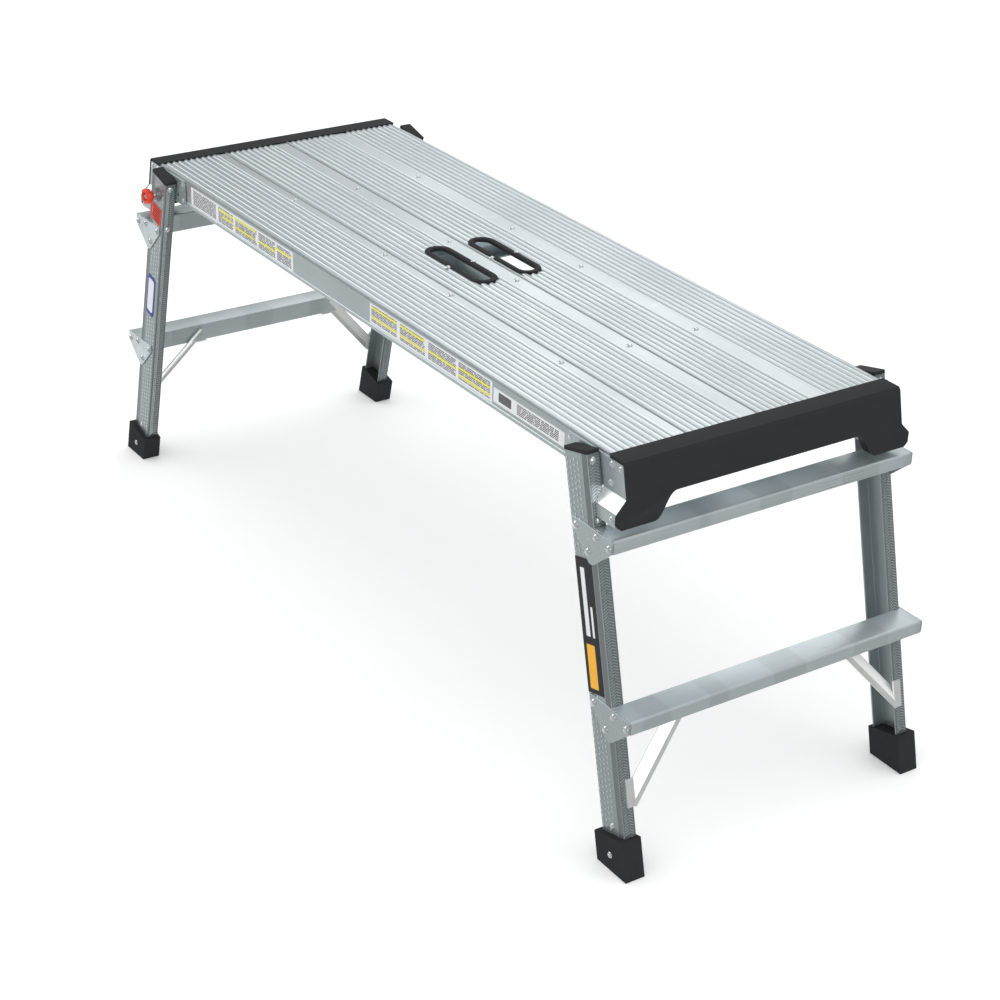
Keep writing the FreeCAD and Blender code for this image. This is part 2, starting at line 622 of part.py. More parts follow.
def strut():
    """Brace in leg coordinates: bent strip, tab for the leg's flange, tab for the step's flange."""
    bend = math.radians(BRACE_BEND)
    front, back = BRACE_FRONT, BRACE_FRONT - BRACE_SHEET
    wing_x = BRACE_WING * math.sin(bend)
    wing_y = BRACE_STRIP + BRACE_WING * math.cos(bend)
    inset = BRACE_SHEET * math.tan(bend / 2)
    # In strut coordinates: X through the sheet at the strip, Y across it, Z along the strut.
    section = [(front, 0), (front, BRACE_STRIP), (front - wing_x, wing_y),
               (front - wing_x - BRACE_SHEET * math.cos(bend), wing_y - BRACE_SHEET * math.sin(bend)),
               (back, BRACE_STRIP - inset), (back, 0)]
    start = V(0, 0, -BRACE_LENGTH / 4)
    wire = Part.makePolygon([V(x, y, 0) + start for x, y in section + section[:1]])
    sheet = Part.Face(wire).extrude(V(0, 0, BRACE_LENGTH) - start)
    sheet.Placement = FreeCAD.Placement(V(0, BRACE_FOOT_Y, BRACE_FOOT_HEIGHT),
                                        FreeCAD.Rotation(Z_AXIS, BRACE_RUN))
    sheet = sheet.cut(box(-REACH, REACH, BRACE_FOOT_Y, REACH * 2, -REACH, REACH * 2))
    foot_tab = box(LEG_WIDTH / 2 + 0.05, back + 0.4, 200.0, 215.0, 83.0, 119.0)
    head_tab = box(back + 0.05, front, 106.0, 136.0, 176.0, 201.0)
    return sheet.fuse([foot_tab, head_tab])


def brace(top):
    """Strut at rest, trimmed to the tread above it and to the step's back flange."""
    back = leg_front_x(top) + STEP_BACK_GAP
    lean = math.tan(math.radians(SPLAY))
    gap = 0.3
    low = top - STEP_BACK - gap
    tread_room = box(back - REACH, back + REACH, 0, REACH * 2, top - STEP_WALL - gap, top + REACH)
    flange_front = back + STEP_WALL * (1 + lean)
    behind = prism_y([(flange_front, top), (back - REACH, top), (back - REACH, low),
                      (flange_front + STEP_BACK * lean, low)], 0, REACH * 2)
    return leg_to_rest(strut()).cut([tread_room, behind]).removeSplitter()


def lock_parts():
    """Spring-loaded pull pin in its sleeve, on the +Y leg, in leg coordinates."""
    centre = (0, LOCK_HEIGHT)
    bore_radius = LOCK_PIN_RADIUS + PIN_CLEARANCE
    start = LEG_INNER_Y + 0.2
    sleeve = rod_y(*centre, HOUSING_RADIUS, start, HOUSING_END)
    collar = rod_y(*centre, HOUSING_RADIUS + 2.5, LEG_OUTER_Y, LEG_OUTER_Y + 2.0)
    chamber = rod_y(*centre, 6.2, start + 1.2, HOUSING_END - 1.5)
    through = rod_y(*centre, bore_radius, start - 1, HOUSING_END + 1)
    housing = sleeve.fuse(collar).cut(chamber).cut(through)
    tip = DECK_HALF_WIDTH + BRACKET_THICKNESS + 0.3
    shaft = rod_y(*centre, LOCK_PIN_RADIUS, tip, KNOB_START + 6)
    shoulder = rod_y(*centre, 5.8, 211.5, 213.0)
    pin = shaft.fuse(shoulder)
    grip = rod_y(*centre, KNOB_RADIUS, KNOB_START + KNOB_NECK, KNOB_START + KNOB_LENGTH)
    ends = [e for e in grip.Edges if e.BoundBox.YLength < 0.01]
    grip = grip.makeFillet(1.8, ends)
    for lobe in range(KNOB_LOBES):
        angle = 2 * math.pi * lobe / KNOB_LOBES
        grip = grip.cut(rod_y(KNOB_SCALLOP_CENTRE * math.cos(angle),
                              LOCK_HEIGHT + KNOB_SCALLOP_CENTRE * math.sin(angle),
                              KNOB_SCALLOP_RADIUS, KNOB_START, KNOB_START + REACH))
    neck = rod_y(*centre, KNOB_NECK_RADIUS, KNOB_START, KNOB_START + 6)
    knob = grip.fuse(neck).cut(rod_y(*centre, LOCK_PIN_RADIUS, KNOB_START - 1, KNOB_START + 6))
    return housing, pin, knob


def lock_spring():
    """Compression spring round the pin, at its shortest length, against the sleeve's end."""
    wire = 0.7
    radius = 4.9
    turns_height = 5.0
    helix = Part.makeHelix(1.65, turns_height, radius)
    profile = Part.Wire(Part.makeCircle(wire, V(radius, 0, 0), Y_AXIS))
    coil = Part.Wire(helix.Edges).makePipeShell([profile], True, True)
    coil.rotate(V(0, 0, 0), V(1, 0, 0), -90)
    coil.translate(V(0, HOUSING_END - 1.6 - turns_height - wire, LOCK_HEIGHT))
    return coil


def frame_fixings():
    """Rivets of the +Y leg: in leg coordinates (boot, insert) and at rest (gussets)."""
    boot_face = BOOT_OUTER_Y - 0.6
    boot_at = V(0, boot_face, BOOT_RIVET)
    boot_grip = boot_face - LEG_OUTER_Y + LEG_WALL
    leg_rivets = [rivet(Y_AXIS, boot_at, boot_grip)]
    # The head sits in a shallow recess of the rubber.
    recess = rod_y(0, BOOT_RIVET, RIVET_HEAD_RADIUS + 0.2, boot_face, BOOT_OUTER_Y + 1)
    web_at = V(0, LEG_OUTER_Y, WEB_RIVET)
    leg_rivets.append(rivet(Y_AXIS, web_at, LEG_WALL))
    boot_bores = [buried_bore(Y_AXIS, boot_at, boot_grip), recess,
                  bore(Y_AXIS, web_at, LEG_WALL)]
    insert_grip = LEG_WALL + 2.0
    insert_bores = []
    for facing in (-1, 1):
        for height in FLANGE_RIVET_HEIGHTS:
            direction = V(facing, 0, 0)
            at = V(facing * LEG_WIDTH / 2, FLANGE_RIVET_Y, height)
            leg_rivets.append(rivet(direction, at, insert_grip))
            insert_bores.append(buried_bore(direction, at, insert_grip))
    gusset_face = LEG_OUTER_Y + GUSSET_GAP + GUSSET_THICKNESS
    gusset_grip = GUSSET_THICKNESS + GUSSET_GAP + LEG_WALL
    gusset_rivets = []
    gusset_bores = []
    for top in STEP_TOPS.values():
        back = leg_front_x(top) + STEP_BACK_GAP
        for x, z in GUSSET_RIVETS:
            at = V(back + x, gusset_face, top + z)
            gusset_rivets.append(rivet(Y_AXIS, at, gusset_grip))
            gusset_bores.append(buried_bore(Y_AXIS, at, gusset_grip))
    rivets = [leg_to_rest(r) for r in leg_rivets] + gusset_rivets
    return rivets, boot_bores, insert_bores, Part.makeCompound(gusset_bores)


def make_frame():
    """Pieces of the near leg frame at rest, keyed by name and side (0 for the shared ones)."""
    rivets, boot_bores, insert_bores, gusset_bores = frame_fixings()
    pieces = {("rivets", 0): []}
    for level in STEP_TOPS:
        pieces[("gussets_" + level, 0)] = []
    for side in (-1, 1):
        has_lock = side > 0
        channel = leg(has_lock).cut(boot_bores + insert_bores)
        rubber = boot().cut([leg_to_rest(tool) for tool in [leg(False)] + boot_bores])
        insert = leg_to_rest(hinge_insert(has_lock).cut(insert_bores)).cut(gusset_bores)
        parts = {"leg": leg_to_rest(channel).cut(gusset_bores),
                 "boot": rubber,
                 "leg_cap": leg_to_rest(leg_cap()),
                 "hinge_insert": insert,
                 "brace": brace(STEP_TOPS["lower"])}
        for name, shape in parts.items():
            pieces[(name, side)] = [on_side(shape, side)]
        for level, top in STEP_TOPS.items():
            plate = gusset(top).cut(gusset_bores)
            pieces[("gussets_" + level, 0)].append(on_side(plate, side))
        pieces[("rivets", 0)].extend(on_side(r, side) for r in rivets)
    for level, top in STEP_TOPS.items():
        formed = step(top).cut([gusset_bores, on_side(gusset_bores, -1)])
        pieces[("step_" + level, 0)] = [formed]
    housing, pin, knob = lock_parts()
    for name, shape in (("lock_housing", housing), ("lock_spring", lock_spring()),
                        ("lock_pin", pin), ("lock_knob", knob)):
        pieces[(name, 0)] = [leg_to_rest(shape)]
    return pieces


def main():
    planks, beams, deck_rivets, grommets, grommet_rivets = make_deck()
    ends, bracket_rivets, pins = make_ends(planks)
    for name, shape in zip(PLANK_NAMES, planks):
        save("deck_plank_" + name, [shape])
    for number, shape in enumerate(beams, 1):
        save("cross_member_" + str(number), [shape])
    save("deck_rivets", deck_rivets)
    save("hand_grommet_left", [grommets[0]])
    save("hand_grommet_right", [grommets[1]])
    save("grommet_rivets", grommet_rivets)
    for name, shape in ends.items():
        save(name, [shape])
    save("bracket_rivets", bracket_rivets)
    save("pivot_pins", pins)
    frame = make_frame()
    for end in ("near", "far"):
        for (name, side), shapes in frame.items():
            suffix = "_" + hand_of(side, end) if side else ""
            save(end + "_" + name + suffix, [at_end(s, end) for s in shapes])


main()
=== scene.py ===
import json
import math
import random

import bmesh
import bpy
from mathutils import Matrix, Vector


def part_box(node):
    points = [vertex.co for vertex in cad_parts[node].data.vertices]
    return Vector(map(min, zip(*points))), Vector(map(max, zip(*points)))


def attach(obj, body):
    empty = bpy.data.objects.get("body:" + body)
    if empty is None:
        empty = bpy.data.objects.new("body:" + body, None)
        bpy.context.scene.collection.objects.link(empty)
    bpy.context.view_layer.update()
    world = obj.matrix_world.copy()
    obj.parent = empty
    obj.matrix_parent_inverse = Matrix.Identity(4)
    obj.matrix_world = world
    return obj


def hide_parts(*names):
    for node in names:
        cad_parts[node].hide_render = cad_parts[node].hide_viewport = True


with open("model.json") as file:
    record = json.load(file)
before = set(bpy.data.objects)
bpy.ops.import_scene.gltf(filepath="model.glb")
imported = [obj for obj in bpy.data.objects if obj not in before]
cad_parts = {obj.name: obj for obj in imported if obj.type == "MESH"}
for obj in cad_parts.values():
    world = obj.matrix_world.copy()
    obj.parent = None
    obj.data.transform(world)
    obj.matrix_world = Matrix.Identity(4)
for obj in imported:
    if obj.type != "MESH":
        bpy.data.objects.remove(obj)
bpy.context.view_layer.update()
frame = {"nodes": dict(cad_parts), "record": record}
MM = 0.001
rng = random.Random(11)

# ------------------------------------------------------------------ places from the CAD frame

JOINTS = {joint["name"]: joint for joint in frame["record"]["behaviour"]["joints"]}


def mm_box(node):
    low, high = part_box(node)
    return [v / MM for v in low], [v / MM for v in high]


PLANKS = ["left_outer", "left_inner", "right_inner", "right_outer"]
PLANK_BOX = {name: mm_box("deck_plank_" + name) for name in PLANKS}
DECK_END = PLANK_BOX["left_outer"][1][0]
DECK_SIDE = -PLANK_BOX["left_outer"][0][1]
DECK_TOP = PLANK_BOX["left_outer"][1][2]
SKIRT_BOTTOM = PLANK_BOX["left_outer"][0][2]

# Leg coordinates: x across the leg (outboard), y across the bench, z along the leg.
SPLAY = math.radians(13.62)
PIVOT_OFFSET, PIVOT_HEIGHT = -8.0, 504.0
pivot = JOINTS["near_fold"]["pos_m"]
FOOT_X = pivot[0] / MM - PIVOT_OFFSET * math.cos(SPLAY) + PIVOT_HEIGHT * math.sin(SPLAY)
LEG = Matrix.Translation((FOOT_X * MM, 0, 0)) @ Matrix.Rotation(-SPLAY, 4, "Y")
REST = Matrix.Identity(4)
END = {"near": Matrix.Identity(4), "far": Matrix.Rotation(math.pi, 4, "Z")}
LEG_HALF = 22.0
LEG_IN, LEG_OUT = 205.4, 223.2
LEG_BOTTOM, LEG_TOP = 8.0, 514.0
LOCK_HEIGHT = 487.0
LOCK_BORE = 3.55
WEB_RIVET = 55.3
STEP_TOP = {"lower": 211.0, "upper": 422.0}
GUSSET_RIVETS = [(-31.0, -9.0), (8.0, -8.5), (-5.5, -32.5), (33.0, -11.5)]


def hand_of(side, end):
    """The half turn to the far end swaps left and right."""
    return "right" if (side if end == "near" else -side) > 0 else "left"


def leg_front_x(z):
    return FOOT_X - z * math.tan(SPLAY) + LEG_HALF / math.cos(SPLAY)


def lock_points():
    """Where the lock pin meets the near skirt, (x, z): leg open, then leg folded."""
    centre = Vector(pivot)
    turn = Matrix.Rotation(math.radians(JOINTS["near_fold"]["range_deg"][1]), 3, "Y")
    open_at = LEG @ Vector((0, 0, LOCK_HEIGHT * MM))
    return [(at.x / MM, at.z / MM) for at in (open_at, centre + turn @ (open_at - centre))]


# ------------------------------------------------------------------ mesh building

def on_xz(u, v, w):
    return (u, w, v)


def on_yz(u, v, w):
    return (w, u, v)


def on_xy(u, v, w):
    return (u, v, w)


def rounded(points, radius, segments=4):
    """Closed outline with its corners rounded; radius is one value or one per corner."""
    out = []
    count = len(points)
    for i, point in enumerate(points):
        r = radius[i] if isinstance(radius, (list, tuple)) else radius
        corner = Vector(point)
        a = Vector(points[i - 1]) - corner
        b = Vector(points[(i + 1) % count]) - corner
        if r <= 0:
            out.append(tuple(corner))
            continue
        half = a.angle(b) / 2
        reach = min(r / math.tan(half), a.length * 0.49, b.length * 0.49)
        r = reach * math.tan(half)
        a.normalize()
        b.normalize()
        centre = corner + (a + b).normalized() * (r / math.sin(half))
        start = corner + a * reach - centre
        stop = corner + b * reach - centre
        for s in range(segments + 1):
            t = s / segments
            spoke = (start * (1 - t) + stop * t).normalized() * r
            out.append(tuple(centre + spoke))
    return out


def bridge(bm, lower, upper):
    """Band of four-sided faces between two rings of vertices."""
    count = len(lower)
    return [bm.faces.new((lower[i], lower[(i + 1) % count], upper[(i + 1) % count], upper[i]))
            for i in range(count)]


def prism(bm, outline, low, high, place, material=0):
    """Closed prism; low and high are numbers or functions of the outline point."""
    ends = []
    for level in (low, high):
        height = level if callable(level) else (lambda u, v, fixed=level: fixed)
        ends.append([bm.verts.new(Vector(place(u, v, height(u, v))) * MM) for u, v in outline])
    for face in bridge(bm, *ends) + [bm.faces.new(ring) for ring in ends]:
        face.material_index = material


def block(bm, x0, x1, y0, y1, z0, z1):
    prism(bm, [(x0, y0), (x1, y0), (x1, y1), (x0, y1)], z0, z1, on_xy)


def lathe(bm, profile, at, direction, segments=20):
    """Profile of (radius, height) turned about direction, closed at both ends."""
    turn = Vector((0, 0, 1)).rotation_difference(Vector(direction)).to_matrix()
    centre = Vector(at)
    rings = []
    for radius, height in profile:
        ring = []
        for i in range(segments):
            angle = 2 * math.pi * i / segments
            local = Vector((radius * math.cos(angle), radius * math.sin(angle), height))
            ring.append(bm.verts.new((centre + turn @ local) * MM))
        rings.append(ring)
    for lower, upper in zip(rings, rings[1:]):
        bridge(bm, lower, upper)
    bm.faces.new(rings[0])
    bm.faces.new(rings[-1])


def rivet_profile(radius, height):
    """Thin rim, then a dome with a small flat crown."""
    rim, steps = 0.3, 6
    points = [(radius * 0.55, -1.2), (radius, -0.2), (radius, rim)]
    for step in range(1, steps):
        angle = step / steps * math.pi / 2
        points.append((radius * 0.93 * math.cos(angle), rim + (height - rim) * math.sin(angle)))
    points.append((radius * 0.12, height))
    return points


def mirror(bm):
    """To the other side of the bench."""
    bmesh.ops.scale(bm, vec=(1, -1, 1), verts=bm.verts)


FLAT_ANGLE = 0.0005
BEVEL_ANGLE = math.radians(40)


def boolean(bm, tool, operation="DIFFERENCE"):
    """bm with tool cut away, joined on or kept in common; returns a new bmesh."""
    objects = []
    for shape in (bm, tool):
        bmesh.ops.recalc_face_normals(shape, faces=shape.faces)
        mesh = bpy.data.meshes.new("scratch")
        shape.to_mesh(mesh)
        made = bpy.data.objects.new("scratch", mesh)
        bpy.context.scene.collection.objects.link(made)
        objects.append(made)
    cut = objects[0].modifiers.new("cut", "BOOLEAN")
    cut.object = objects[1]
    cut.operation = operation
    cut.solver = "EXACT"
    graph = bpy.context.evaluated_depsgraph_get()
    result = bmesh.new()
    result.from_mesh(objects[0].evaluated_get(graph).to_mesh())
    for made in objects:
        mesh = made.data
        bpy.data.objects.remove(made)
        bpy.data.meshes.remove(mesh)
    bmesh.ops.dissolve_limit(result, angle_limit=FLAT_ANGLE, verts=result.verts,
                             edges=result.edges)
    return result


def piece(name, bm, body, materials, replaces=(), matrix=REST, bevel=0.0, smooth=32):
    """Turns a bmesh into a named piece that rides on a body; bevel in mm, smooth in degrees."""
    bmesh.ops.recalc_face_normals(bm, faces=bm.faces)
    mesh = bpy.data.meshes.new(name)
    bm.to_mesh(mesh)
    bm.free()
    for material in materials:
        mesh.materials.append(material)
    mesh.shade_smooth()
    mesh.set_sharp_from_angle(angle=math.radians(smooth))
    made = bpy.data.objects.new(name, mesh)
    bpy.context.scene.collection.objects.link(made)
    made.matrix_world = matrix
    if bevel:
        edge = made.modifiers.new("edge", "BEVEL")
        edge.width = bevel * MM
        edge.segments = 2
        edge.limit_method = "ANGLE"
        edge.angle_limit = BEVEL_ANGLE
        edge.harden_normals = True
    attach(made, body)
    if replaces:
        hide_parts(*replaces)


# ------------------------------------------------------------------ materials

class Nodes:
    """Small helper around one material's node tree."""

    def __init__(self, name):
        self.material = bpy.data.materials.new(name)
        self.material.use_nodes = True
        self.tree = self.material.node_tree
        self.shader = self.tree.nodes["Principled BSDF"]
        self.coords = self.tree.nodes.new("ShaderNodeTexCoord")

    def link(self, source, target):
        self.tree.links.new(source, target)

    def noise(self, scale, detail=3.0, rough=0.5, turn=(0, 0, 0)):
        """Noise in object coordinates; scale is per metre on each axis."""
        mapping = self.tree.nodes.new("ShaderNodeMapping")
        mapping.inputs["Scale"].default_value = scale
        mapping.inputs["Rotation"].default_value = turn
        texture = self.tree.nodes.new("ShaderNodeTexNoise")
        texture.inputs["Scale"].default_value = 1.0
        texture.inputs["Detail"].default_value = detail
        texture.inputs["Roughness"].default_value = rough
        self.link(self.coords.outputs["Object"], mapping.inputs["Vector"])
        self.link(mapping.outputs["Vector"], texture.inputs["Vector"])
        return texture.outputs["Fac"]

    def remap(self, value, low, high, from_low=0.3, from_high=0.7):
        node = self.tree.nodes.new("ShaderNodeMapRange")
        node.inputs["From Min"].default_value = from_low
        node.inputs["From Max"].default_value = from_high
        node.inputs["To Min"].default_value = low
        node.inputs["To Max"].default_value = high
        self.link(value, node.inputs["Value"])
        return node.outputs["Result"]

    def math(self, operation, a, b):
        node = self.tree.nodes.new("ShaderNodeMath")
        node.operation = operation
        for value, socket in ((a, node.inputs[0]), (b, node.inputs[1])):
            if isinstance(value, (int, float)):
                socket.default_value = value
            else:
                self.link(value, socket)
        return node.outputs["Value"]

    def mix(self, factor, a, b):
        node = self.tree.nodes.new("ShaderNodeMix")
        node.data_type = "RGBA"
        self.link(factor, node.inputs["Factor"])
        for value, socket in ((a, node.inputs["A"]), (b, node.inputs["B"])):
            if isinstance(value, tuple):
                socket.default_value = (*value, 1)
            else:
                self.link(value, socket)
        return node.outputs["Result"]

    def bump(self, height, strength, distance):
        node = self.tree.nodes.new("ShaderNodeBump")
        node.inputs["Strength"].default_value = strength
        node.inputs["Distance"].default_value = distance
        self.link(height, node.inputs["Height"])
        self.link(node.outputs["Normal"], self.shader.inputs["Normal"])

    def edges(self):
        """Mask of worn convex edges."""
        geometry = self.tree.nodes.new("ShaderNodeNewGeometry")
        return self.remap(geometry.outputs["Pointiness"], 0, 1, 0.52, 0.60)


def shade(colour, share):
    return tuple(min(1.0, c * share) for c in colour)


BLOTCH = 0.06


def aluminium(name, colour, roughness, grain, contrast=0.10, bump=0.12, painted_reflection_bands=0.0, metallic=0.8):
    """Mill-finish or brushed metal; grain is the streak scale on each axis, per metre.

    contrast is the tone range of the streaks; the bands argument sets the strength of broad lighter
    blocks along Y, which are painted reflections.
    """
    n = Nodes(name)
    n.shader.inputs["Metallic"].default_value = metallic
    streaks = n.noise(grain, detail=5.0, rough=0.65)
    fine = n.noise(tuple(g * 3.1 for g in grain), detail=2.0)
    cloud = n.noise((9, 9, 9), detail=4.0, rough=0.55)
    streaked = n.mix(n.remap(streaks, 0, 1), shade(colour, 1 - contrast),
                     shade(colour, 1 + contrast))
    clouded = n.mix(n.remap(cloud, 0, 1), shade(colour, 1 - BLOTCH), shade(colour, 1 + BLOTCH))
    both = n.mix(n.remap(fine, 0.25, 0.75), streaked, clouded)
    worn = n.mix(n.math("MULTIPLY", n.edges(), 0.3), both, shade(colour, 1.3))
    if painted_reflection_bands:
        # Broad lighter blocks along Y: painted reflections mixed into the worn tone.
        block = n.remap(n.noise((0.5, 15, 0.5), detail=0.0), 0, 1, 0.485, 0.515)
        worn = n.mix(n.math("MULTIPLY", block, painted_reflection_bands), worn, shade(colour, 1.45))
    n.link(worn, n.shader.inputs["Base Color"])
    rough = n.math("ADD", n.remap(streaks, -0.05, 0.05),
                   n.remap(cloud, roughness - 0.04, roughness + 0.05))
    n.link(rough, n.shader.inputs["Roughness"])
    n.bump(n.math("ADD", streaks, n.math("MULTIPLY", fine, 0.5)), bump, 0.0002)
    return n.material


def deck_aluminium(name, colour, roughness):
    """Ribbed planks: valleys darkened with painted shade, rib tops lightened with a painted
    highlight, drawing lines along X.
    """
    n = Nodes(name)
    n.shader.inputs["Metallic"].default_value = 1.0
    streaks = n.noise((1.6, 700, 700), detail=5.0, rough=0.7)
    scuffs = n.noise((60, 25, 25), detail=6.0, rough=0.7, turn=(0, 0, 0.5))
    cloud = n.noise((5, 8, 8), detail=4.0)
    split = n.tree.nodes.new("ShaderNodeSeparateXYZ")
    n.link(n.coords.outputs["Object"], split.inputs["Vector"])
    top = DECK_TOP * MM
    # Height mask: rib tops get a painted highlight, valleys painted shade.
    height = n.remap(split.outputs["Z"], 0, 1, top - 1.3 * MM, top - 0.2 * MM)
    low = n.mix(n.remap(streaks, 0, 1), shade(colour, 0.80), shade(colour, 0.96))
    high = n.mix(n.remap(streaks, 0, 1), shade(colour, 0.98), shade(colour, 1.14))
    ribs = n.mix(height, low, high)
    tone = n.mix(n.math("MULTIPLY", n.remap(cloud, 0, 1), 0.25), ribs, shade(colour, 0.95))
    marks = n.math("MULTIPLY", n.remap(scuffs, 0, 1, 0.62, 0.75), 0.3)
    n.link(n.mix(marks, tone, shade(colour, 1.6)), n.shader.inputs["Base Color"])
    rough = n.math("ADD", n.remap(streaks, -0.06, 0.06),
                   n.remap(cloud, roughness - 0.03, roughness + 0.05))
    n.link(rough, n.shader.inputs["Roughness"])
    n.bump(streaks, 0.15, 0.0002)
    return n.material


def plastic(name, colour, roughness, specular=0.2, grain=2600, bump=0.25):
    """Moulded plastic or rubber with a fine grain and slightly rubbed edges."""
    n = Nodes(name)
    n.shader.inputs["Specular IOR Level"].default_value = specular
    speck = n.noise((grain, grain, grain), detail=2.0)
    cloud = n.noise((18, 18, 18), detail=5.0, rough=0.6)
    base = n.mix(n.remap(cloud, 0, 1), shade(colour, 0.88), shade(colour, 1.12))
    speckled = n.mix(n.math("MULTIPLY", n.remap(speck, 0, 1), 0.5), base, shade(colour, 1.2))
    rubbed = n.mix(n.math("MULTIPLY", n.edges(), 0.35), speckled, shade(colour, 1.7))
    n.link(rubbed, n.shader.inputs["Base Color"])
    rough = n.math("ADD", n.remap(speck, -0.04, 0.04),
                   n.remap(cloud, roughness - 0.04, roughness + 0.04))
    n.link(rough, n.shader.inputs["Roughness"])
    n.bump(speck, bump, 0.0001)
    return n.material


def printed(name, colour, roughness=0.45):
    """Vinyl label stock: faint fibre tone and a soft sheen."""
    n = Nodes(name)
    n.shader.inputs["Specular IOR Level"].default_value = 0.3
    cloud = n.noise((60, 60, 60), detail=4.0)
    fine = n.noise((1500, 1500, 1500), detail=2.0)
    tone = n.mix(n.remap(cloud, 0, 1), shade(colour, 0.95), shade(colour, 1.03))
    n.link(n.mix(n.math("MULTIPLY", n.remap(fine, 0, 1), 0.4), tone, shade(colour, 0.97)),
           n.shader.inputs["Base Color"])
    n.link(n.remap(cloud, roughness - 0.05, roughness + 0.08), n.shader.inputs["Roughness"])
    n.bump(fine, 0.1, 0.00005)
    return n.material


ALU = (0.50, 0.555, 0.575)
SOOT = (0.021, 0.022, 0.0235)
SHEET_GRAIN = (120, 120, 60)
LEG_GRAIN = (450, 450, 4.0)
DECK_METAL = deck_aluminium("deck_aluminium", (0.61, 0.66, 0.685), 0.35)
RAIL_METAL = aluminium("rail_aluminium", ALU, 0.40, (2.0, 500, 500))
BEAM_METAL = aluminium("beam_aluminium", shade(ALU, 0.95), 0.42, (500, 2.0, 500))
# Near-white copy of the bracket sheet for its flare: a painted highlight.
FLARE_HIGHLIGHT_METAL = aluminium("bracket_flare_aluminium", (0.93, 0.95, 0.96), 0.30, SHEET_GRAIN,
                        contrast=0.03, bump=0.03, metallic=0.7)
# Darker copy of the leg metal for the web's outer strip and the flanges: painted shade.
LEG_SHADE_METAL = aluminium("leg_painted_shade_aluminium", shade(ALU, 0.55), 0.42, LEG_GRAIN, metallic=0.9)
LEG_METAL = aluminium("leg_aluminium", shade(ALU, 0.86), 0.40, LEG_GRAIN, contrast=0.14,
                      metallic=0.9)
# Lighter copy of the leg metal for the crowns of pads and chevrons: a painted highlight.
PAD_HIGHLIGHT_METAL = aluminium("leg_pad_painted_highlight", shade(ALU, 1.35), 0.30, (200, 200, 200), contrast=0.05)
# The step metal's lighter bands along Y are painted reflections.
STEP_METAL = aluminium("step_aluminium", ALU, 0.34, (600, 2.5, 600), contrast=0.14, painted_reflection_bands=0.26,
                       metallic=0.65)
PLATE_METAL = aluminium("plate_aluminium", shade(ALU, 0.98), 0.27, SHEET_GRAIN, contrast=0.04,
                        bump=0.03)
BRACKET_METAL = aluminium("bracket_aluminium", shade(ALU, 0.94), 0.30, SHEET_GRAIN, contrast=0.04,
                          bump=0.03, metallic=0.7)
BRACE_METAL = aluminium("brace_steel", (0.86, 0.88, 0.86), 0.42, (60, 60, 60), contrast=0.05)
RIVET_METAL = aluminium("rivet_steel", (0.74, 0.77, 0.79), 0.24, (400, 400, 400), contrast=0.05)
LOCK_METAL = aluminium("lock_steel", (0.55, 0.56, 0.57), 0.30, (500, 40, 500), contrast=0.08)
BLACK = plastic("black_plastic", SOOT, 0.60, specular=0.12)
RUBBER = plastic("boot_rubber", SOOT, 0.72, specular=0.10, grain=1500, bump=0.4)
KNOB_RED = plastic("knob_plastic", (0.60, 0.042, 0.018), 0.38, specular=0.4, bump=0.1)
NYLON = plastic("hinge_nylon", (0.30, 0.315, 0.325), 0.50, specular=0.25)
COLLAR_METAL = aluminium("collar_steel", (0.34, 0.355, 0.365), 0.46, (300, 300, 300), contrast=0.08)
WHITE_LABEL = printed("label_white", (0.68, 0.70, 0.72))
YELLOW_LABEL = printed("label_yellow", (0.72, 0.68, 0.07))
GREY_LABEL = printed("label_grey", (0.11, 0.11, 0.12))
BLACK_LABEL = printed("label_black", (0.020, 0.021, 0.024))
AMBER_LABEL = printed("label_amber", (0.80, 0.40, 0.03))
ORANGE_LABEL = printed("label_orange", (0.64, 0.040, 0.016))
BLUE_LABEL = printed("label_blue", (0.035, 0.06, 0.30))

# ------------------------------------------------------------------ deck

RIB_PITCH = 9.55
RIB_HEIGHT = 1.6
RIB_BASE = 6.4
RIB_STEPS = 8
RIB_COUNT = {"left_outer": 10, "left_inner": 9, "right_inner": 9, "right_outer": 9}
# From the plank's edge to the first rib: the outer planks, then less at a seam.
RIB_INSET, SEAM_SHIFT, EDGE_BEAD = 2.9, 0.25, 3.6
LAND_DROP = 1.0
SKIN = 2.0
FLANGE = 12.0
WALL = 2.0
SKIRT_SETBACK = 0.7
SPINE_PLANK = "left_inner"
SPINE_FOOT = 14.0
CROSS_MEMBERS = [mm_box("cross_member_%d" % i) for i in (1, 2, 3, 4)]


def rib_centres(name):
    """Ribs stand on the pitch, counted from each plank's plain outer side."""
    y0, y1 = PLANK_BOX[name][0][1], PLANK_BOX[name][1][1]
    count = RIB_COUNT[name]
    if name == "right_outer":
        last = y1 - RIB_INSET - EDGE_BEAD
        return [last - RIB_PITCH * i for i in reversed(range(count))]
    first = y0 + RIB_INSET - (0 if name == "left_outer" else SEAM_SHIFT)
    return [first + RIB_PITCH * i for i in range(count)]


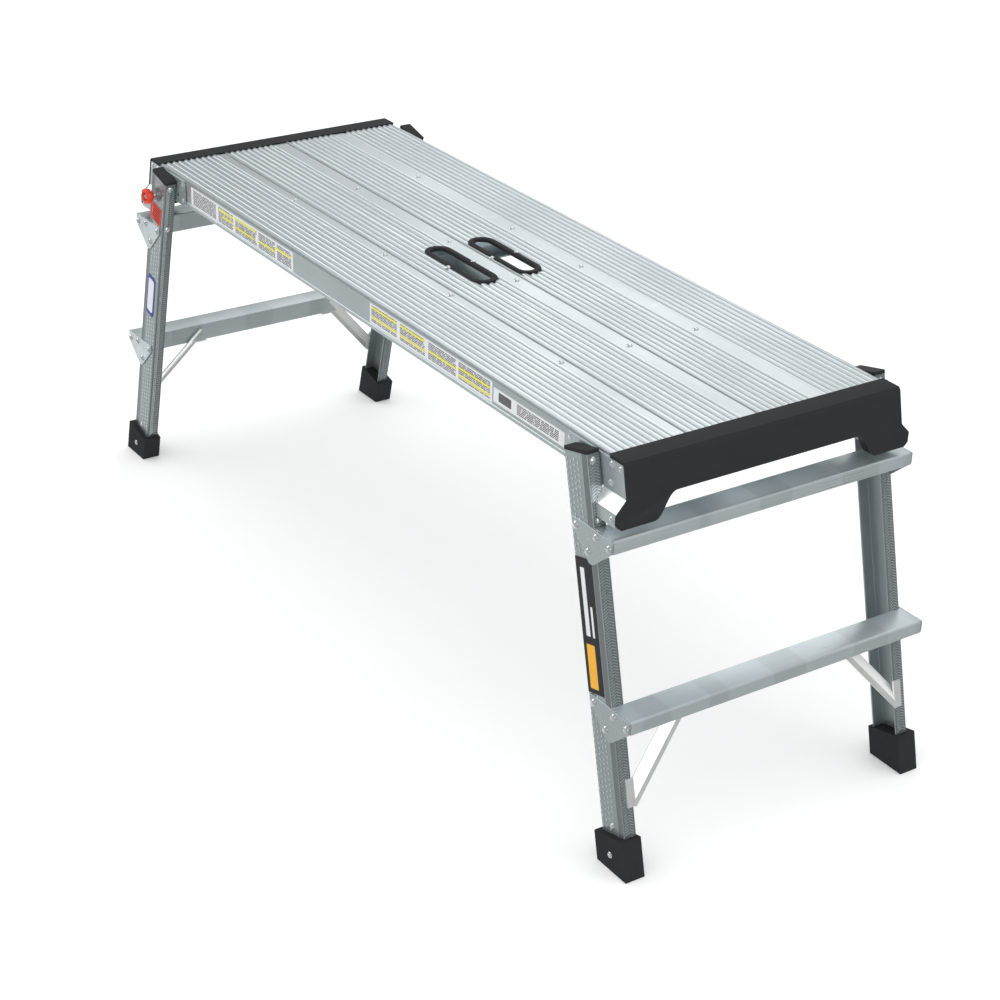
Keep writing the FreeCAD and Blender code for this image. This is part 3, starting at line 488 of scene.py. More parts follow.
def plank_outline(name):
    """Section (y, z): rounded ribs, a flat land, flanges below, skirt on the outer planks."""
    y0, y1 = PLANK_BOX[name][0][1], PLANK_BOX[name][1][1]
    valley = DECK_TOP - RIB_HEIGHT
    under = valley - SKIN
    top = []
    for centre in rib_centres(name):
        for s in range(RIB_STEPS + 1):
            share = s / RIB_STEPS
            y = centre + (share - 0.5) * RIB_BASE
            rise = RIB_HEIGHT * math.sin(math.pi * share) ** 0.8
            if y > y0 + 0.05:
                top.append((y, valley + rise))
    if name != "right_outer":
        land = DECK_TOP - LAND_DROP
        start = top[-1][0] + 0.4
        top += [(start, valley), (start + 0.7, land), (y1 - 0.3, land), (y1, land - 0.3)]
    else:
        top += [(y1 - 2.2, valley), (y1, valley - 0.2)]

    def wall(edge, inward, outer):
        """Down the outside, round the foot and up the inside, from the outer corner."""
        if name == SPINE_PLANK and inward < 0:
            z = SKIRT_BOTTOM
            return [(edge, z + 0.4), (edge - 0.4, z), (edge - SPINE_FOOT, z),
                    (edge - SPINE_FOOT, z + WALL), (edge - WALL - 1, z + WALL),
                    (edge - WALL, z + WALL + 1), (edge - WALL, under)]
        if not outer:
            low = under - FLANGE
            return [(edge, low), (edge + inward * WALL, low), (edge + inward * WALL, under)]
        # The skirt's face is set back between a top bead and a bottom bead.
        z = SKIRT_BOTTOM
        face, foot, inside = (edge + inward * depth for depth in (SKIRT_SETBACK, 12, WALL + 0.5))
        return [(edge, DECK_TOP - 4.2), (face, DECK_TOP - 5.0), (face, z + 5.6), (edge, z + 4.8),
                (edge, z + 0.5), (edge + inward * 0.5, z), (foot, z), (foot, z + WALL),
                (inside, z + WALL), (inside, under)]

    right = wall(y1, -1, name == "right_outer")
    left = wall(y0, 1, name == "left_outer")
    start = [(y0, valley - 0.3)] if name == "left_outer" else [(y0, valley)]
    return start + top + right + list(reversed(left))


def stadium(half_straight, half_width, segments=14):
    """Closed outline round a slot whose long axis is X."""
    out = []
    for centre, begin in ((half_straight, -90), (-half_straight, 90)):
        for i in range(segments + 1):
            angle = math.radians(begin + 180 * i / segments)
            out.append((centre + half_width * math.cos(angle), half_width * math.sin(angle)))
    return out


HAND_HOLES = {}
for hand in ("left", "right"):
    low, high = mm_box("hand_grommet_" + hand)
    HAND_HOLES[hand] = {"y": (low[1] + high[1]) / 2, "length": high[0] - low[0],
                        "width": high[1] - low[1], "bottom": low[2]}

# Half the straight length and half the width of the opening cut in the planks.
HAND_SLOT = (53.5, 13.6)
LOCK_PLANKS = {"right_outer": 1, "left_outer": -1}
DOME = rivet_profile(4.2, 2.2)

for name in PLANKS:
    bm = bmesh.new()
    prism(bm, plank_outline(name), -DECK_END, DECK_END, on_yz)
    low, high = PLANK_BOX[name]
    for hole in HAND_HOLES.values():
        if low[1] < hole["y"] < high[1]:
            tool = bmesh.new()
            slot = [(x, y + hole["y"]) for x, y in stadium(*HAND_SLOT)]
            prism(tool, slot, SKIRT_BOTTOM + 20, DECK_TOP + 20, on_xy)
            bm = boolean(bm, tool)
    if name == SPINE_PLANK:
        for beam_low, beam_high in CROSS_MEMBERS:
            tool = bmesh.new()
            block(tool, beam_low[0] - 0.5, beam_high[0] + 0.5, high[1] - WALL - 1, high[1] + 1,
                  SKIRT_BOTTOM + WALL, beam_high[2])
            bm = boolean(bm, tool)
    turn = LOCK_PLANKS.get(name)
    for x, z in lock_points() if turn else []:
        tool = bmesh.new()
        lathe(tool, [(LOCK_BORE, -6), (LOCK_BORE, 6)], (turn * x, turn * DECK_SIDE, z),
              (0, turn, 0), 24)
        bm = boolean(bm, tool)
    for face in bm.faces:
        tread = face.calc_center_median().z > (DECK_TOP - RIB_HEIGHT - 1.0) * MM
        face.material_index = 0 if tread else 1
    piece("deck_plank_" + name + "_ribbed", bm, "deck",
          [DECK_METAL, RAIL_METAL], ["deck_plank_" + name])

RIVET_Y = (-104.0, -1.0, 103.0)
RIVET_X = [(beam_low[0] + beam_high[0]) / 2 for beam_low, beam_high in CROSS_MEMBERS]
bm = bmesh.new()
for x in RIVET_X:
    for y in RIVET_Y:
        lathe(bm, DOME, (x, y, DECK_TOP - LAND_DROP), (0, 0, 1))
piece("deck_rivet_heads", bm, "deck", [RIVET_METAL], ["deck_rivets"])

bm_rivets = bmesh.new()
for hand, hole in HAND_HOLES.items():
    rim = hole["width"] / 2
    half = hole["length"] / 2 - rim
    bottom = hole["bottom"] - DECK_TOP
    # Sleeve through the plank, rounded flat ring on the ribs: (distance from the middle, z).
    section = [(13.3, bottom), (12.3, bottom), (12.0, bottom + 0.4), (12.0, 0.4), (12.15, 1.0),
               (12.6, 1.45), (13.3, 1.6), (rim - 1.4, 1.6), (rim - 0.5, 1.35), (rim - 0.1, 0.8),
               (rim, 0.2), (rim, -0.35), (13.3, -0.35)]
    bm = bmesh.new()
    loops = []
    for radius, z in section:
        loops.append([bm.verts.new(Vector((x, y + hole["y"], DECK_TOP + z)) * MM)
                      for x, y in stadium(half, radius)])
    for first, second in zip(loops, loops[1:] + loops[:1]):
        bridge(bm, first, second)
    for edge in (-1, 1):
        at = (0, hole["y"] + edge * rim, DECK_TOP)
        tool = bmesh.new()
        lathe(tool, [(4.5, -0.05), (4.5, 6.0)], at, (0, 0, 1))
        bm = boolean(bm, tool)
        lathe(bm_rivets, rivet_profile(4.0, 2.1), at, (0, 0, 1))
    piece("hand_grommet_%s_rim" % hand, bm, "deck", [BLACK],
          ["hand_grommet_" + hand], smooth=40)
piece("grommet_rivet_heads", bm_rivets, "deck", [RIVET_METAL], ["grommet_rivets"])

# ------------------------------------------------------------------ brackets and end caps

PLATE = 2.0
FLARE_OUT = 13.5
FLARE_TOP, FLARE_LOW, STRIP_LOW = 466.0, 450.5, 434.0
CAP_TOP_X, CAP_X, CAP_KNEE = 602.0, 611.0, 465.0
LOBE_LOW, LOBE_Y, LOBE_BACK = 431.5, 217.5, 597.0
BRACKET_TOP, BRACKET_BACK = 504.5, 487.0
SKIRT_RIVETS = [(495.5, 498.5), (495.5, 474.5)]
CAP_RIVETS = [(577.0, 498.0), (577.0, 475.5), (594.0, 498.0)]
STRIP_RIVET = (599.0, 442.0)
# The leg swings past the heads on the skirt, so they are low.
FLAT_DOME = rivet_profile(4.2, 1.2)


def cap_inner_x(z):
    """Inside of the cap's face: leaning above the knee, upright below."""
    share = min(1.0, max(0.0, (BRACKET_TOP - z) / (BRACKET_TOP - CAP_KNEE)))
    return CAP_TOP_X - 4.4 + (CAP_X - CAP_TOP_X) * share


def bracket_bm(has_lock):
    """Near end, +Y side: one bent sheet, with two pin holes on the lock side."""
    inner, outer = DECK_SIDE, DECK_SIDE + PLATE
    split = leg_front_x(FLARE_TOP) + 0.3
    back = rounded([(BRACKET_BACK, FLARE_TOP), (split, FLARE_TOP), (split, BRACKET_TOP),
                    (BRACKET_BACK, BRACKET_TOP)], [6, 0, 0, 6], 6)
    bm = bmesh.new()
    prism(bm, back, inner, outer, on_xz)
    section = [(inner, BRACKET_TOP), (outer, BRACKET_TOP), (outer, FLARE_TOP),
               (outer + FLARE_OUT, FLARE_LOW), (outer + FLARE_OUT, STRIP_LOW),
               (inner + FLARE_OUT, STRIP_LOW), (inner + FLARE_OUT, FLARE_LOW - 0.8),
               (inner, FLARE_TOP - 0.8)]
    section = rounded(section, [0, 0, 1.5, 2.5, 0, 0, 1.2, 2.5], 4)
    front = bmesh.new()
    prism(front, section, lambda y, z: split if z > FLARE_TOP else leg_front_x(z) + 0.3,
          lambda y, z: cap_inner_x(z), on_yz)
    bm = boolean(bm, front, "UNION")
    for x, z in lock_points() if has_lock else []:
        tool = bmesh.new()
        lathe(tool, [(LOCK_BORE, -2), (LOCK_BORE, PLATE + 2)], (x, DECK_SIDE, z), (0, 1, 0), 24)
        bm = boolean(bm, tool)
    # The flare's sloped faces take the second material, a painted highlight.
    for face in bm.faces:
        if face.normal.y > 0.5 and face.normal.z > 0.5:
            face.material_index = 1
    return bm


def cap_bm():
    """Near end: side profile and front outline in common, hollowed behind the lobes."""
    seat, lap = DECK_END + 0.1, DECK_END - 2.2
    rest, lip, under = DECK_TOP + 0.05, DECK_TOP + 0.7, DECK_TOP - 3.2
    head, half = CAP_KNEE - 1, DECK_SIDE + PLATE
    profile = [(seat, head), (seat, rest), (lap, rest), (lap, lip), (CAP_TOP_X - 3, lip),
               (CAP_TOP_X, DECK_TOP - 2.6), (CAP_X, CAP_KNEE), (CAP_X, LOBE_LOW),
               (LOBE_BACK, LOBE_LOW), (LOBE_BACK, head)]
    profile = rounded(profile, [0, 0, 0, 0.4, 2.0, 2.0, 6.0, 0, 0, 0], 5)
    arch_foot, arch_head, sway, steps = 165.0, 136.0, 4, 10
    right = [(half, DECK_TOP + 5), (half, head), (LOBE_Y, head - FLARE_OUT),
             (LOBE_Y, LOBE_LOW + 5.5), (LOBE_Y - 5.5, LOBE_LOW), (arch_foot, LOBE_LOW)]
    corner = [0, 3.0, 3.0, 2.0, 2.0, 6.0]
    for i in range(1, steps):
        share = i / steps
        rise = (head - LOBE_LOW) * share
        right.append((arch_foot - (arch_foot - arch_head) * share,
                      LOBE_LOW + rise - sway * math.sin(2 * math.pi * share)))
        corner.append(0)
    right.append((arch_head, head))
    corner.append(5.0)
    left = [(-y, z) for y, z in reversed(right)]
    outline = rounded(right + left, corner + corner[::-1], 5)
    beyond, before = 240, DECK_END - 5
    bm = bmesh.new()
    prism(bm, profile, -beyond, beyond, on_xz)
    front = bmesh.new()
    prism(front, outline, before, CAP_X + 5, on_yz)
    bm = boolean(bm, front, "INTERSECT")
    hollow = [(170.0, 435.5), (212.0, 435.5), (212.0, 448.0), (199.5, 460.5), (148.0, 460.5),
              (159.0, 449.0)]
    strip = LOBE_Y - PLATE - 0.1
    side_y = DECK_SIDE - 0.3
    beside = [(side_y, under), (230, under), (230, LOBE_LOW - 1), (strip, LOBE_LOW - 1),
              (strip, FLARE_LOW - 2), (side_y, FLARE_TOP - 2)]
    for side in (-1, 1):
        for shape, start, depth in ((hollow, LOBE_BACK - 5, CAP_X - 4),
                                    (beside, before, lambda y, z: cap_inner_x(z) + 0.35)):
            tool = bmesh.new()
            prism(tool, shape, start, depth, on_yz)
            if side < 0:
                mirror(tool)
            bm = boolean(bm, tool)
    inside = [(before, CAP_KNEE + 4), (before, under), (CAP_TOP_X - 4, under),
              (CAP_X - 4, CAP_KNEE + 4)]
    tool = bmesh.new()
    prism(tool, inside, -DECK_SIDE + 4, DECK_SIDE - 4, on_xz)
    return boolean(bm, tool)


rivets = bmesh.new()
for end in ("near", "far"):
    piece("end_cap_%s_moulded" % end, cap_bm(), "deck", [BLACK],
          ["end_cap_" + end], matrix=END[end], bevel=0.5)
    for side in (-1, 1):
        bm = bracket_bm(side > 0)
        if side < 0:
            mirror(bm)
        hand = hand_of(side, end)
        piece("bracket_%s_%s_sheet" % (end, hand), bm, "deck",
              [BRACKET_METAL, FLARE_HIGHLIGHT_METAL], ["bracket_%s_%s" % (end, hand)],
              matrix=END[end], bevel=0.35)
        turn = 1 if end == "near" else -1
        for x, z in SKIRT_RIVETS + CAP_RIVETS:
            profile = FLAT_DOME if x < DECK_END else DOME
            lathe(rivets, profile, (turn * x, turn * side * (DECK_SIDE + PLATE), z),
                  (0, turn * side, 0))
        x, z = STRIP_RIVET
        lathe(rivets, DOME, (turn * x, turn * side * (DECK_SIDE + PLATE + FLARE_OUT), z),
              (0, turn * side, 0))
piece("bracket_rivet_heads", rivets, "deck", [RIVET_METAL], ["bracket_rivets"])

# ------------------------------------------------------------------ leg frames

LEG_WALL = 2.2
BEAD_X = 12.3
DIMPLE_COLUMNS = [-18.0, -10.7, -3.4, 3.9]
DIMPLE_START, DIMPLE_PITCH, DIMPLE_SIDES = 50.0, 7.0, 10
# Half width, half height and height over the web, at a pad's foot and at its crown.
DIMPLE_FOOT, DIMPLE_CROWN = (1.9, 2.3, -0.15), (1.2, 1.5, 0.5)
CHEVRON_START, CHEVRON_PITCH = 48.0, 3.6
# Heights of the stickers on a leg with a lock and one without: no pads under them.
ORANGE_Z, BLACK_Z, TALL_Z = (439, 468), (271, 341), (221, 388)
LEG_LABELS = {True: [ORANGE_Z, BLACK_Z], False: [TALL_Z]}


def raised_pad(bm, foot, crown):
    """Pad between two outlines, with its crown in the third material, a painted highlight."""
    lower, upper = ([bm.verts.new(Vector(p) * MM) for p in ring] for ring in (foot, crown))
    bridge(bm, lower, upper)
    bm.faces.new(lower)
    bm.faces.new(upper).material_index = 2


def leg_bm(has_lock):
    """C-channel with a bead along its web, raised pads on the web, chevrons on the flanges."""
    h, wall = LEG_HALF, LEG_WALL
    section = [(-h, LEG_IN), (-h, LEG_OUT), (BEAD_X - 1.0, LEG_OUT), (BEAD_X - 0.5, LEG_OUT + 0.45),
               (BEAD_X + 0.5, LEG_OUT + 0.45), (BEAD_X + 1.0, LEG_OUT), (h, LEG_OUT), (h, LEG_IN),
               (h - wall, LEG_IN), (h - wall, LEG_OUT - wall), (-h + wall, LEG_OUT - wall),
               (-h + wall, LEG_IN)]
    section = rounded(section, [0.5, 1.6, 0.3, 0.3, 0.3, 0.3, 1.6, 0.5, 0.5, 0.9, 0.9, 0.5], 4)
    bm = bmesh.new()
    prism(bm, section, LEG_BOTTOM, LEG_TOP, on_xy)
    for index, x in enumerate(DIMPLE_COLUMNS):
        z = DIMPLE_START + (DIMPLE_PITCH / 2 if index % 2 else 0)
        while z < LEG_TOP - 6:
            covered = has_lock and math.hypot(x, z - LOCK_HEIGHT) < 14
            for low, high in LEG_LABELS[has_lock]:
                covered = covered or low - 2.5 < z < high + 2.5
            if not covered and math.hypot(x, z - WEB_RIVET) > 5.5:
                angles = [2 * math.pi * i / DIMPLE_SIDES for i in range(DIMPLE_SIDES)]
                raised_pad(bm, *([(x + wide * math.cos(a), LEG_OUT + lift, z + tall * math.sin(a))
                                  for a in angles]
                                 for wide, tall, lift in (DIMPLE_FOOT, DIMPLE_CROWN)))
            z += DIMPLE_PITCH
    for face in bm.faces:
        centre = face.calc_center_median() / MM
        # The web's strip beyond the bead and the flanges' outer faces take the second material:
        # painted shade.
        painted_shade_border = BEAD_X + 1 < centre.x < h - 1.2 and centre.y > LEG_OUT - 0.1
        if painted_shade_border or abs(centre.x) > h - 0.1:
            face.material_index = 1
    middle = (LEG_IN + LEG_OUT) / 2
    for facing in (-1, 1):
        z = CHEVRON_START
        while z < LEG_TOP - 8:
            for arm in (-1, 1):
                (y_a, z_a), (y_b, z_b) = (middle + arm * 0.4, z + 3.2), (middle + arm * 6.2, z)
                raised_pad(bm, *([(facing * (h + lift), y_a, z_a + low),
                                  (facing * (h + lift), y_b, z_b + low),
                                  (facing * (h + lift), y_b, z_b + high),
                                  (facing * (h + lift), y_a, z_a + high)]
                                 for lift, low, high in ((-0.1, 0, 1.3), (0.35, 0.4, 0.9))))
            z += CHEVRON_PITCH
    return bm


BOOT_HALF, BOOT_TOP, BOOT_IN, BOOT_OUT = 28, 45, 203.0, 231.0
# Floor of the round recess for the rivet, and the rivet's height.
BOOT_RECESS, BOOT_RIVET = 230.4, 21.0


def boot_bm():
    """Boot: outline (x, z) whose lower edge is the floor, seen across the leg."""
    slope = math.tan(SPLAY)
    half = BOOT_HALF
    outline = [(-half, BOOT_TOP), (half, BOOT_TOP), (half, -half * slope), (-half, half * slope)]
    bm = bmesh.new()
    prism(bm, outline, BOOT_IN, BOOT_OUT, on_xz)
    recess = bmesh.new()
    lathe(recess, [(4.6, 0), (4.6, 4)], (0, BOOT_RECESS, BOOT_RIVET), (0, 1, 0))
    bm = boolean(bm, recess)
    bm.transform(LEG)
    return bm


def leg_cap_bm():
    """Cap on the leg's upper end, with a plug inside the channel."""
    bm = bmesh.new()
    h = LEG_HALF + 0.4
    outline = rounded([(-h, LEG_IN - 0.1), (h, LEG_IN - 0.1), (h, LEG_OUT + 0.4),
                       (-h, LEG_OUT + 0.4)], [0.8, 0.8, 2.0, 2.0], 4)
    prism(bm, outline, LEG_TOP, LEG_TOP + 4.5, on_xy)
    wall = LEG_WALL + 0.1
    inner = LEG_HALF - wall
    block(bm, -inner, inner, LEG_IN + 0.1, LEG_OUT - wall, LEG_TOP - 3, LEG_TOP + 0.5)
    return bm


def brace_bm():
    """Bent strip in leg coordinates with its foot and head tabs."""
    run = Vector((0, -65.0, 76.0)).normalized()
    out = Vector((0, run.z, -run.y))
    start = Vector((0, 204.0, 82.2))
    bend = math.radians(30)
    front, sheet, strip, wing, length = 26.4, 2.0, 7.0, 15.0, 148.0

    def strut(u, v, w):
        return tuple(start + Vector((u, 0, 0)) + out * v + run * w)

    tip_x, tip_v = front - wing * math.sin(bend), strip + wing * math.cos(bend)
    section = [(front, 0), (front, strip), (tip_x, tip_v),
               (tip_x - sheet * math.cos(bend), tip_v - sheet * math.sin(bend)),
               (front - sheet, strip - sheet * math.tan(bend / 2)), (front - sheet, 0)]
    section = rounded(section, [0.6, 2.5, 0.6, 0.6, 0.6, 0.6], 4)
    bm = bmesh.new()
    # The lower end is cut upright, in line with the leg's inner edge.
    prism(bm, section, lambda u, v: v * out.y / -run.y, length, strut)
    block(bm, LEG_HALF + 0.05, front - 1.6, 203.4, 215.0, 83.0, 119.0)  # foot tab, on the leg
    block(bm, LEG_HALF + 2.45, front, 106.0, 136.0, 176.0, 201.0)  # head tab, under the step
    return bm


STEP_GAP, STEP_DEPTH, STEP_SHEET = 0.2, 39.3, 2.2
STEP_LIP, STEP_FLANGE = 17, 30
GUSSET_FACE = 2.5


def step_bm(top):
    """Formed step in the rest frame: rounded tread, lip, back flange and folded end tabs."""
    back = leg_front_x(top) + STEP_GAP
    front, lip, low = back + STEP_DEPTH, top - STEP_LIP, top - STEP_FLANGE
    lean = math.tan(SPLAY)
    w = STEP_SHEET
    section = [(back, top), (front, top), (front, lip), (front - w, lip), (front - w, top - w),
               (back + w * (1 + lean), top - w), (back + STEP_FLANGE * lean + w, low),
               (back + STEP_FLANGE * lean, low)]
    section = rounded(section, [1.2, 3.2, 0.7, 0.7, 1.0, 1.0, 0.7, 0.7], 5)
    bm = bmesh.new()
    prism(bm, section, -LEG_OUT, LEG_OUT, on_xz)
    for side in (-1, 1):
        tab = [(back + 4, top - 0.4), (front - 2.6, top - 0.4), (front - 0.6, top - 2.4),
               (front - 0.6, top - 16.6), (back + 9.5, top - 22)]
        y0, y1 = sorted((side * (LEG_OUT - w), side * (LEG_OUT - 0.02)))
        prism(bm, tab, y0, y1, on_xz)
    return bm


def gusset_bm(top):
    """Plate on the web of the +Y leg, behind and under a step."""
    back = leg_front_x(top) + STEP_GAP
    outline = [(-38, 0), (38.2, 0), (39.2, -1.5), (39.2, -16), (7, -44), (2, -46), (-3.5, -45),
               (-38, -11)]
    outline = rounded(outline, [1.5, 0, 0, 4, 2, 2, 2, 4], 4)
    bm = bmesh.new()
    prism(bm, [(back + x, top + z) for x, z in outline], LEG_OUT + 0.1, LEG_OUT + GUSSET_FACE,
          on_xz)
    return bm


def knob_bm():
    """Lobed pull knob on the +Y leg, in leg coordinates, hollow round the pin's end."""
    bm = bmesh.new()
    rings = []
    sides, lobes, scallop = 60, 6, 2.3
    # Radius, y, and how much of the scallop shows there.
    profile = [(6.4, 232.0, 0), (7.0, 232.6, 0), (7.0, 235.2, 0), (7.6, 235.9, 0.1),
               (10.6, 236.3, 0.8), (11.7, 237.2, 1), (12.0, 238.6, 1), (12.0, 242.4, 1),
               (11.6, 243.9, 1), (10.6, 244.8, 0.9), (8.4, 245.0, 0.4), (7.2, 244.6, 0.1),
               (6.6, 243.6, 0), (6.2, 239.6, 0)]
    for radius, y, share in profile:
        ring = []
        for i in range(sides):
            angle = 2 * math.pi * i / sides
            r = radius - scallop * share * (0.5 + 0.5 * math.cos(lobes * angle)) ** 2
            ring.append(bm.verts.new(Vector((r * math.cos(angle), y,
                                             LOCK_HEIGHT + r * math.sin(angle))) * MM))
        rings.append(ring)
    for lower, upper in zip(rings, rings[1:]):
        bridge(bm, lower, upper)
    bm.faces.new(rings[0])
    bm.faces.new(rings[-1])
    return bm


def pin_bm():
    """Pull pin with its shoulder; the outer end shows as a small dome in the knob."""
    bm = bmesh.new()
    lathe(bm, [(3.0, 204.3), (3.5, 205.0), (3.5, 211.5), (5.8, 211.5), (5.8, 213.0), (3.5, 213.0),
               (3.5, 242.4), (3.2, 243.4), (2.2, 244.0), (0.8, 244.2)],
          (0, 0, LOCK_HEIGHT), (0, 1, 0), 24)
    return bm


FILM = 0.12
STICKER_LIFT, PRINT_LIFT = 0.30, 0.36


def label(bm, x0, x1, z0, z1, y, lift, material, radius=1.0):
    """Thin printed sheet on a face whose normal is +Y."""
    outline = rounded([(x0, z0), (x1, z0), (x1, z1), (x0, z1)], radius, 3)
    prism(bm, outline, y + lift, y + lift + FILM, on_xz, material=material)


def leg_label(bm, x0, x1, z, lift, material, radius=1.0):
    label(bm, x0, x1, *z, LEG_OUT, lift, material, radius)


FLANGE_RIVETS = [436.0, 506.0]
FLANGE_RIVET_Y = 215.0
GUSSET_DOME = rivet_profile(4.8, 2.8)


def frame_rivets_bm():
    """Gusset, boot and flange rivets of a leg frame, drawn in the near frame's rest pose."""
    bm = bmesh.new()
    turn = LEG.to_3x3()
    for side in (-1, 1):
        for top in STEP_TOP.values():
            back = leg_front_x(top) + STEP_GAP
            for x, z in GUSSET_RIVETS:
                lathe(bm, GUSSET_DOME, (back + x, side * (LEG_OUT + GUSSET_FACE), top + z),
                      (0, side, 0))
        local = [((0, side * BOOT_RECESS, BOOT_RIVET), (0, side, 0)),
                 ((0, side * LEG_OUT, WEB_RIVET), (0, side, 0))]
        for facing in (-1, 1):
            for z in FLANGE_RIVETS:
                local.append(((facing * LEG_HALF, side * FLANGE_RIVET_Y, z), (facing, 0, 0)))
        for at, direction in local:
            place = (LEG @ (Vector(at) * MM)) / MM
            lathe(bm, DOME, place, turn @ Vector(direction))
    return bm


for end in ("near", "far"):
    body = end + "_frame"
    on_leg = END[end] @ LEG
    for level, top in STEP_TOP.items():
        piece("%s_step_%s_formed" % (end, level), step_bm(top), body,
              [STEP_METAL], ["%s_step_%s" % (end, level)], matrix=END[end], bevel=0.3)
        plates = bmesh.new()
        for side in (-1, 1):
            plate = gusset_bm(top)
            if side < 0:
                mirror(plate)
            mesh = bpy.data.meshes.new("scratch")
            plate.to_mesh(mesh)
            plates.from_mesh(mesh)
            bpy.data.meshes.remove(mesh)
        piece("%s_gussets_%s_plates" % (end, level), plates, body,
              [PLATE_METAL], ["%s_gussets_%s" % (end, level)], matrix=END[end], bevel=0.4)
    piece(end + "_rivet_heads", frame_rivets_bm(), body, [RIVET_METAL],
          [end + "_rivets"], matrix=END[end])
    for side in (-1, 1):
        hand = hand_of(side, end)
        has_lock = side > 0
        for kind, bm, slot, materials, bevel in (
                ("leg", leg_bm(has_lock), "leg_aluminium", [LEG_METAL, LEG_SHADE_METAL, PAD_HIGHLIGHT_METAL], 0),
                ("boot", boot_bm(), "boot_rubber", [RUBBER], 1.6),
                ("leg_cap", leg_cap_bm(), "black_plastic", [BLACK], 0.7),
                ("brace", brace_bm(), "plate_aluminium", [BRACE_METAL], 0.3)):
            if side < 0:
                mirror(bm)
            piece("%s_%s_%s_piece" % (end, kind, hand), bm, body, materials,
                  ["%s_%s_%s" % (end, kind, hand)], matrix=END[end] if kind == "boot" else on_leg,
                  bevel=bevel)
        bm = bmesh.new()
        if has_lock:
            leg_label(bm, -16, 18, ORANGE_Z, STICKER_LIFT, 0)
            for row in range(6):
                z = 463.5 - row * 4.2
                leg_label(bm, -12, 14 - (row * 7) % 9, (z - 1.6, z), PRINT_LIFT, 1, 0.3)
            leg_label(bm, -13, 13, BLACK_Z, STICKER_LIFT, 2, 6.0)
            leg_label(bm, -9, 9, (277, 335), PRINT_LIFT, 3, 4.0)
            colours = [ORANGE_LABEL, BLACK_LABEL, BLUE_LABEL, WHITE_LABEL]
        else:
            leg_label(bm, -21, 11.0, TALL_Z, STICKER_LIFT, 0, 0.8)
            leg_label(bm, -15, 1, (227, 282), PRINT_LIFT, 1)
            leg_label(bm, -13, -5, (292, 376), PRINT_LIFT, 2, 0.8)
            leg_label(bm, 0, 4, (292, 330), PRINT_LIFT, 2, 0.8)
            colours = [BLACK_LABEL, AMBER_LABEL, WHITE_LABEL]
        if side < 0:
            mirror(bm)
        piece("%s_label_%s" % (end, hand), bm, body, colours, matrix=on_leg)
    piece(end + "_knob_lobed", knob_bm(), end + "_lock", [KNOB_RED],
          [end + "_lock_knob"], matrix=on_leg, smooth=50)
    piece(end + "_pin_turned", pin_bm(), end + "_lock", [LOCK_METAL],
          [end + "_lock_pin"], matrix=on_leg)

# ------------------------------------------------------------------ labels on the -Y skirt

bm = bmesh.new()
skirt_face = DECK_SIDE - SKIRT_SETBACK
BAR, ROW, ROW_GAP = 3.2, 1.3, 1.6
TEXT_LIFT, BAR_LIFT = 0.08, 0.18


def skirt_label(x0, x1, z0, z1, lift, material, radius=0.6):
    """Drawn on the +Y face and mirrored to the -Y face below."""
    label(bm, x0, x1, z0, z1, skirt_face, lift, material, radius)


def text_rows(x0, x1, z0, z1, pitch=2.3):
    """Short grey dashes in rows: a generic stand-in for print."""
    z = z1
    while z > z0:
        x = x0
        while x < x1 - 4:
            length = min(rng.uniform(5, 22), x1 - x)
            skirt_label(x, x + length, z - ROW, z, TEXT_LIFT, 2, 0.2)
            x += length + ROW_GAP
        z -= pitch


# White stickers (x, x, z, z), each with the yellow bars on it (x, x, upper edge).
for x0, x1, z0, z1, bars in (
        (-471, -163, 474.3, 502.0,
         [(-382, -340, 497), (-372, -340, 489), (-335, -270, 499), (-335, -275, 486),
          (-262, -215, 488), (-215, -168, 494)]),
        (43, 331, 474.5, 502.6,
         [(47, 110, 499), (47, 110, 486), (118, 178, 499), (118, 178, 486), (186, 250, 490),
          (256, 326, 494), (256, 326, 484)]),
        (334, 482, 478.0, 497.0, [])):
    skirt_label(x0, x1, z0, z1, 0.0, 0)
    for b0, b1, top in bars:
        skirt_label(b0, b1, top - BAR, top, BAR_LIFT, 1, 0.3)
for x0, x1, z0, z1 in ((-464, -392, 477, 499), (-384, -338, 477, 499), (-332, -268, 477, 499),
                       (-262, -214, 477, 499), (-208, -168, 477, 499), (47, 110, 477, 500),
                       (118, 178, 477, 500), (186, 250, 477, 500), (256, 326, 477, 500),
                       (384, 470, 481, 494)):
    text_rows(x0, x1, z0, z1)
skirt_label(345, 372, 482, 494, TEXT_LIFT, 2, 1.0)
mirror(bm)
piece("skirt_labels", bm, "deck", [WHITE_LABEL, YELLOW_LABEL, GREY_LABEL])

# ------------------------------------------------------------------ CAD nodes kept as they are

KEPT = {"cross_member": BEAM_METAL, "pivot_pins": RIVET_METAL, "hinge_insert": NYLON,
        "lock_housing": COLLAR_METAL, "lock_spring": LOCK_METAL}
for node, made in frame["nodes"].items():
    for word, material in KEPT.items():
        if word in node:
            for slot in made.material_slots:
                slot.material = material

# ------------------------------------------------------------------ floor, light, camera

FLOOR_GLOW, PLAIN_LIGHT, BASE_LIGHT = 0.15, 1.1, 0.27

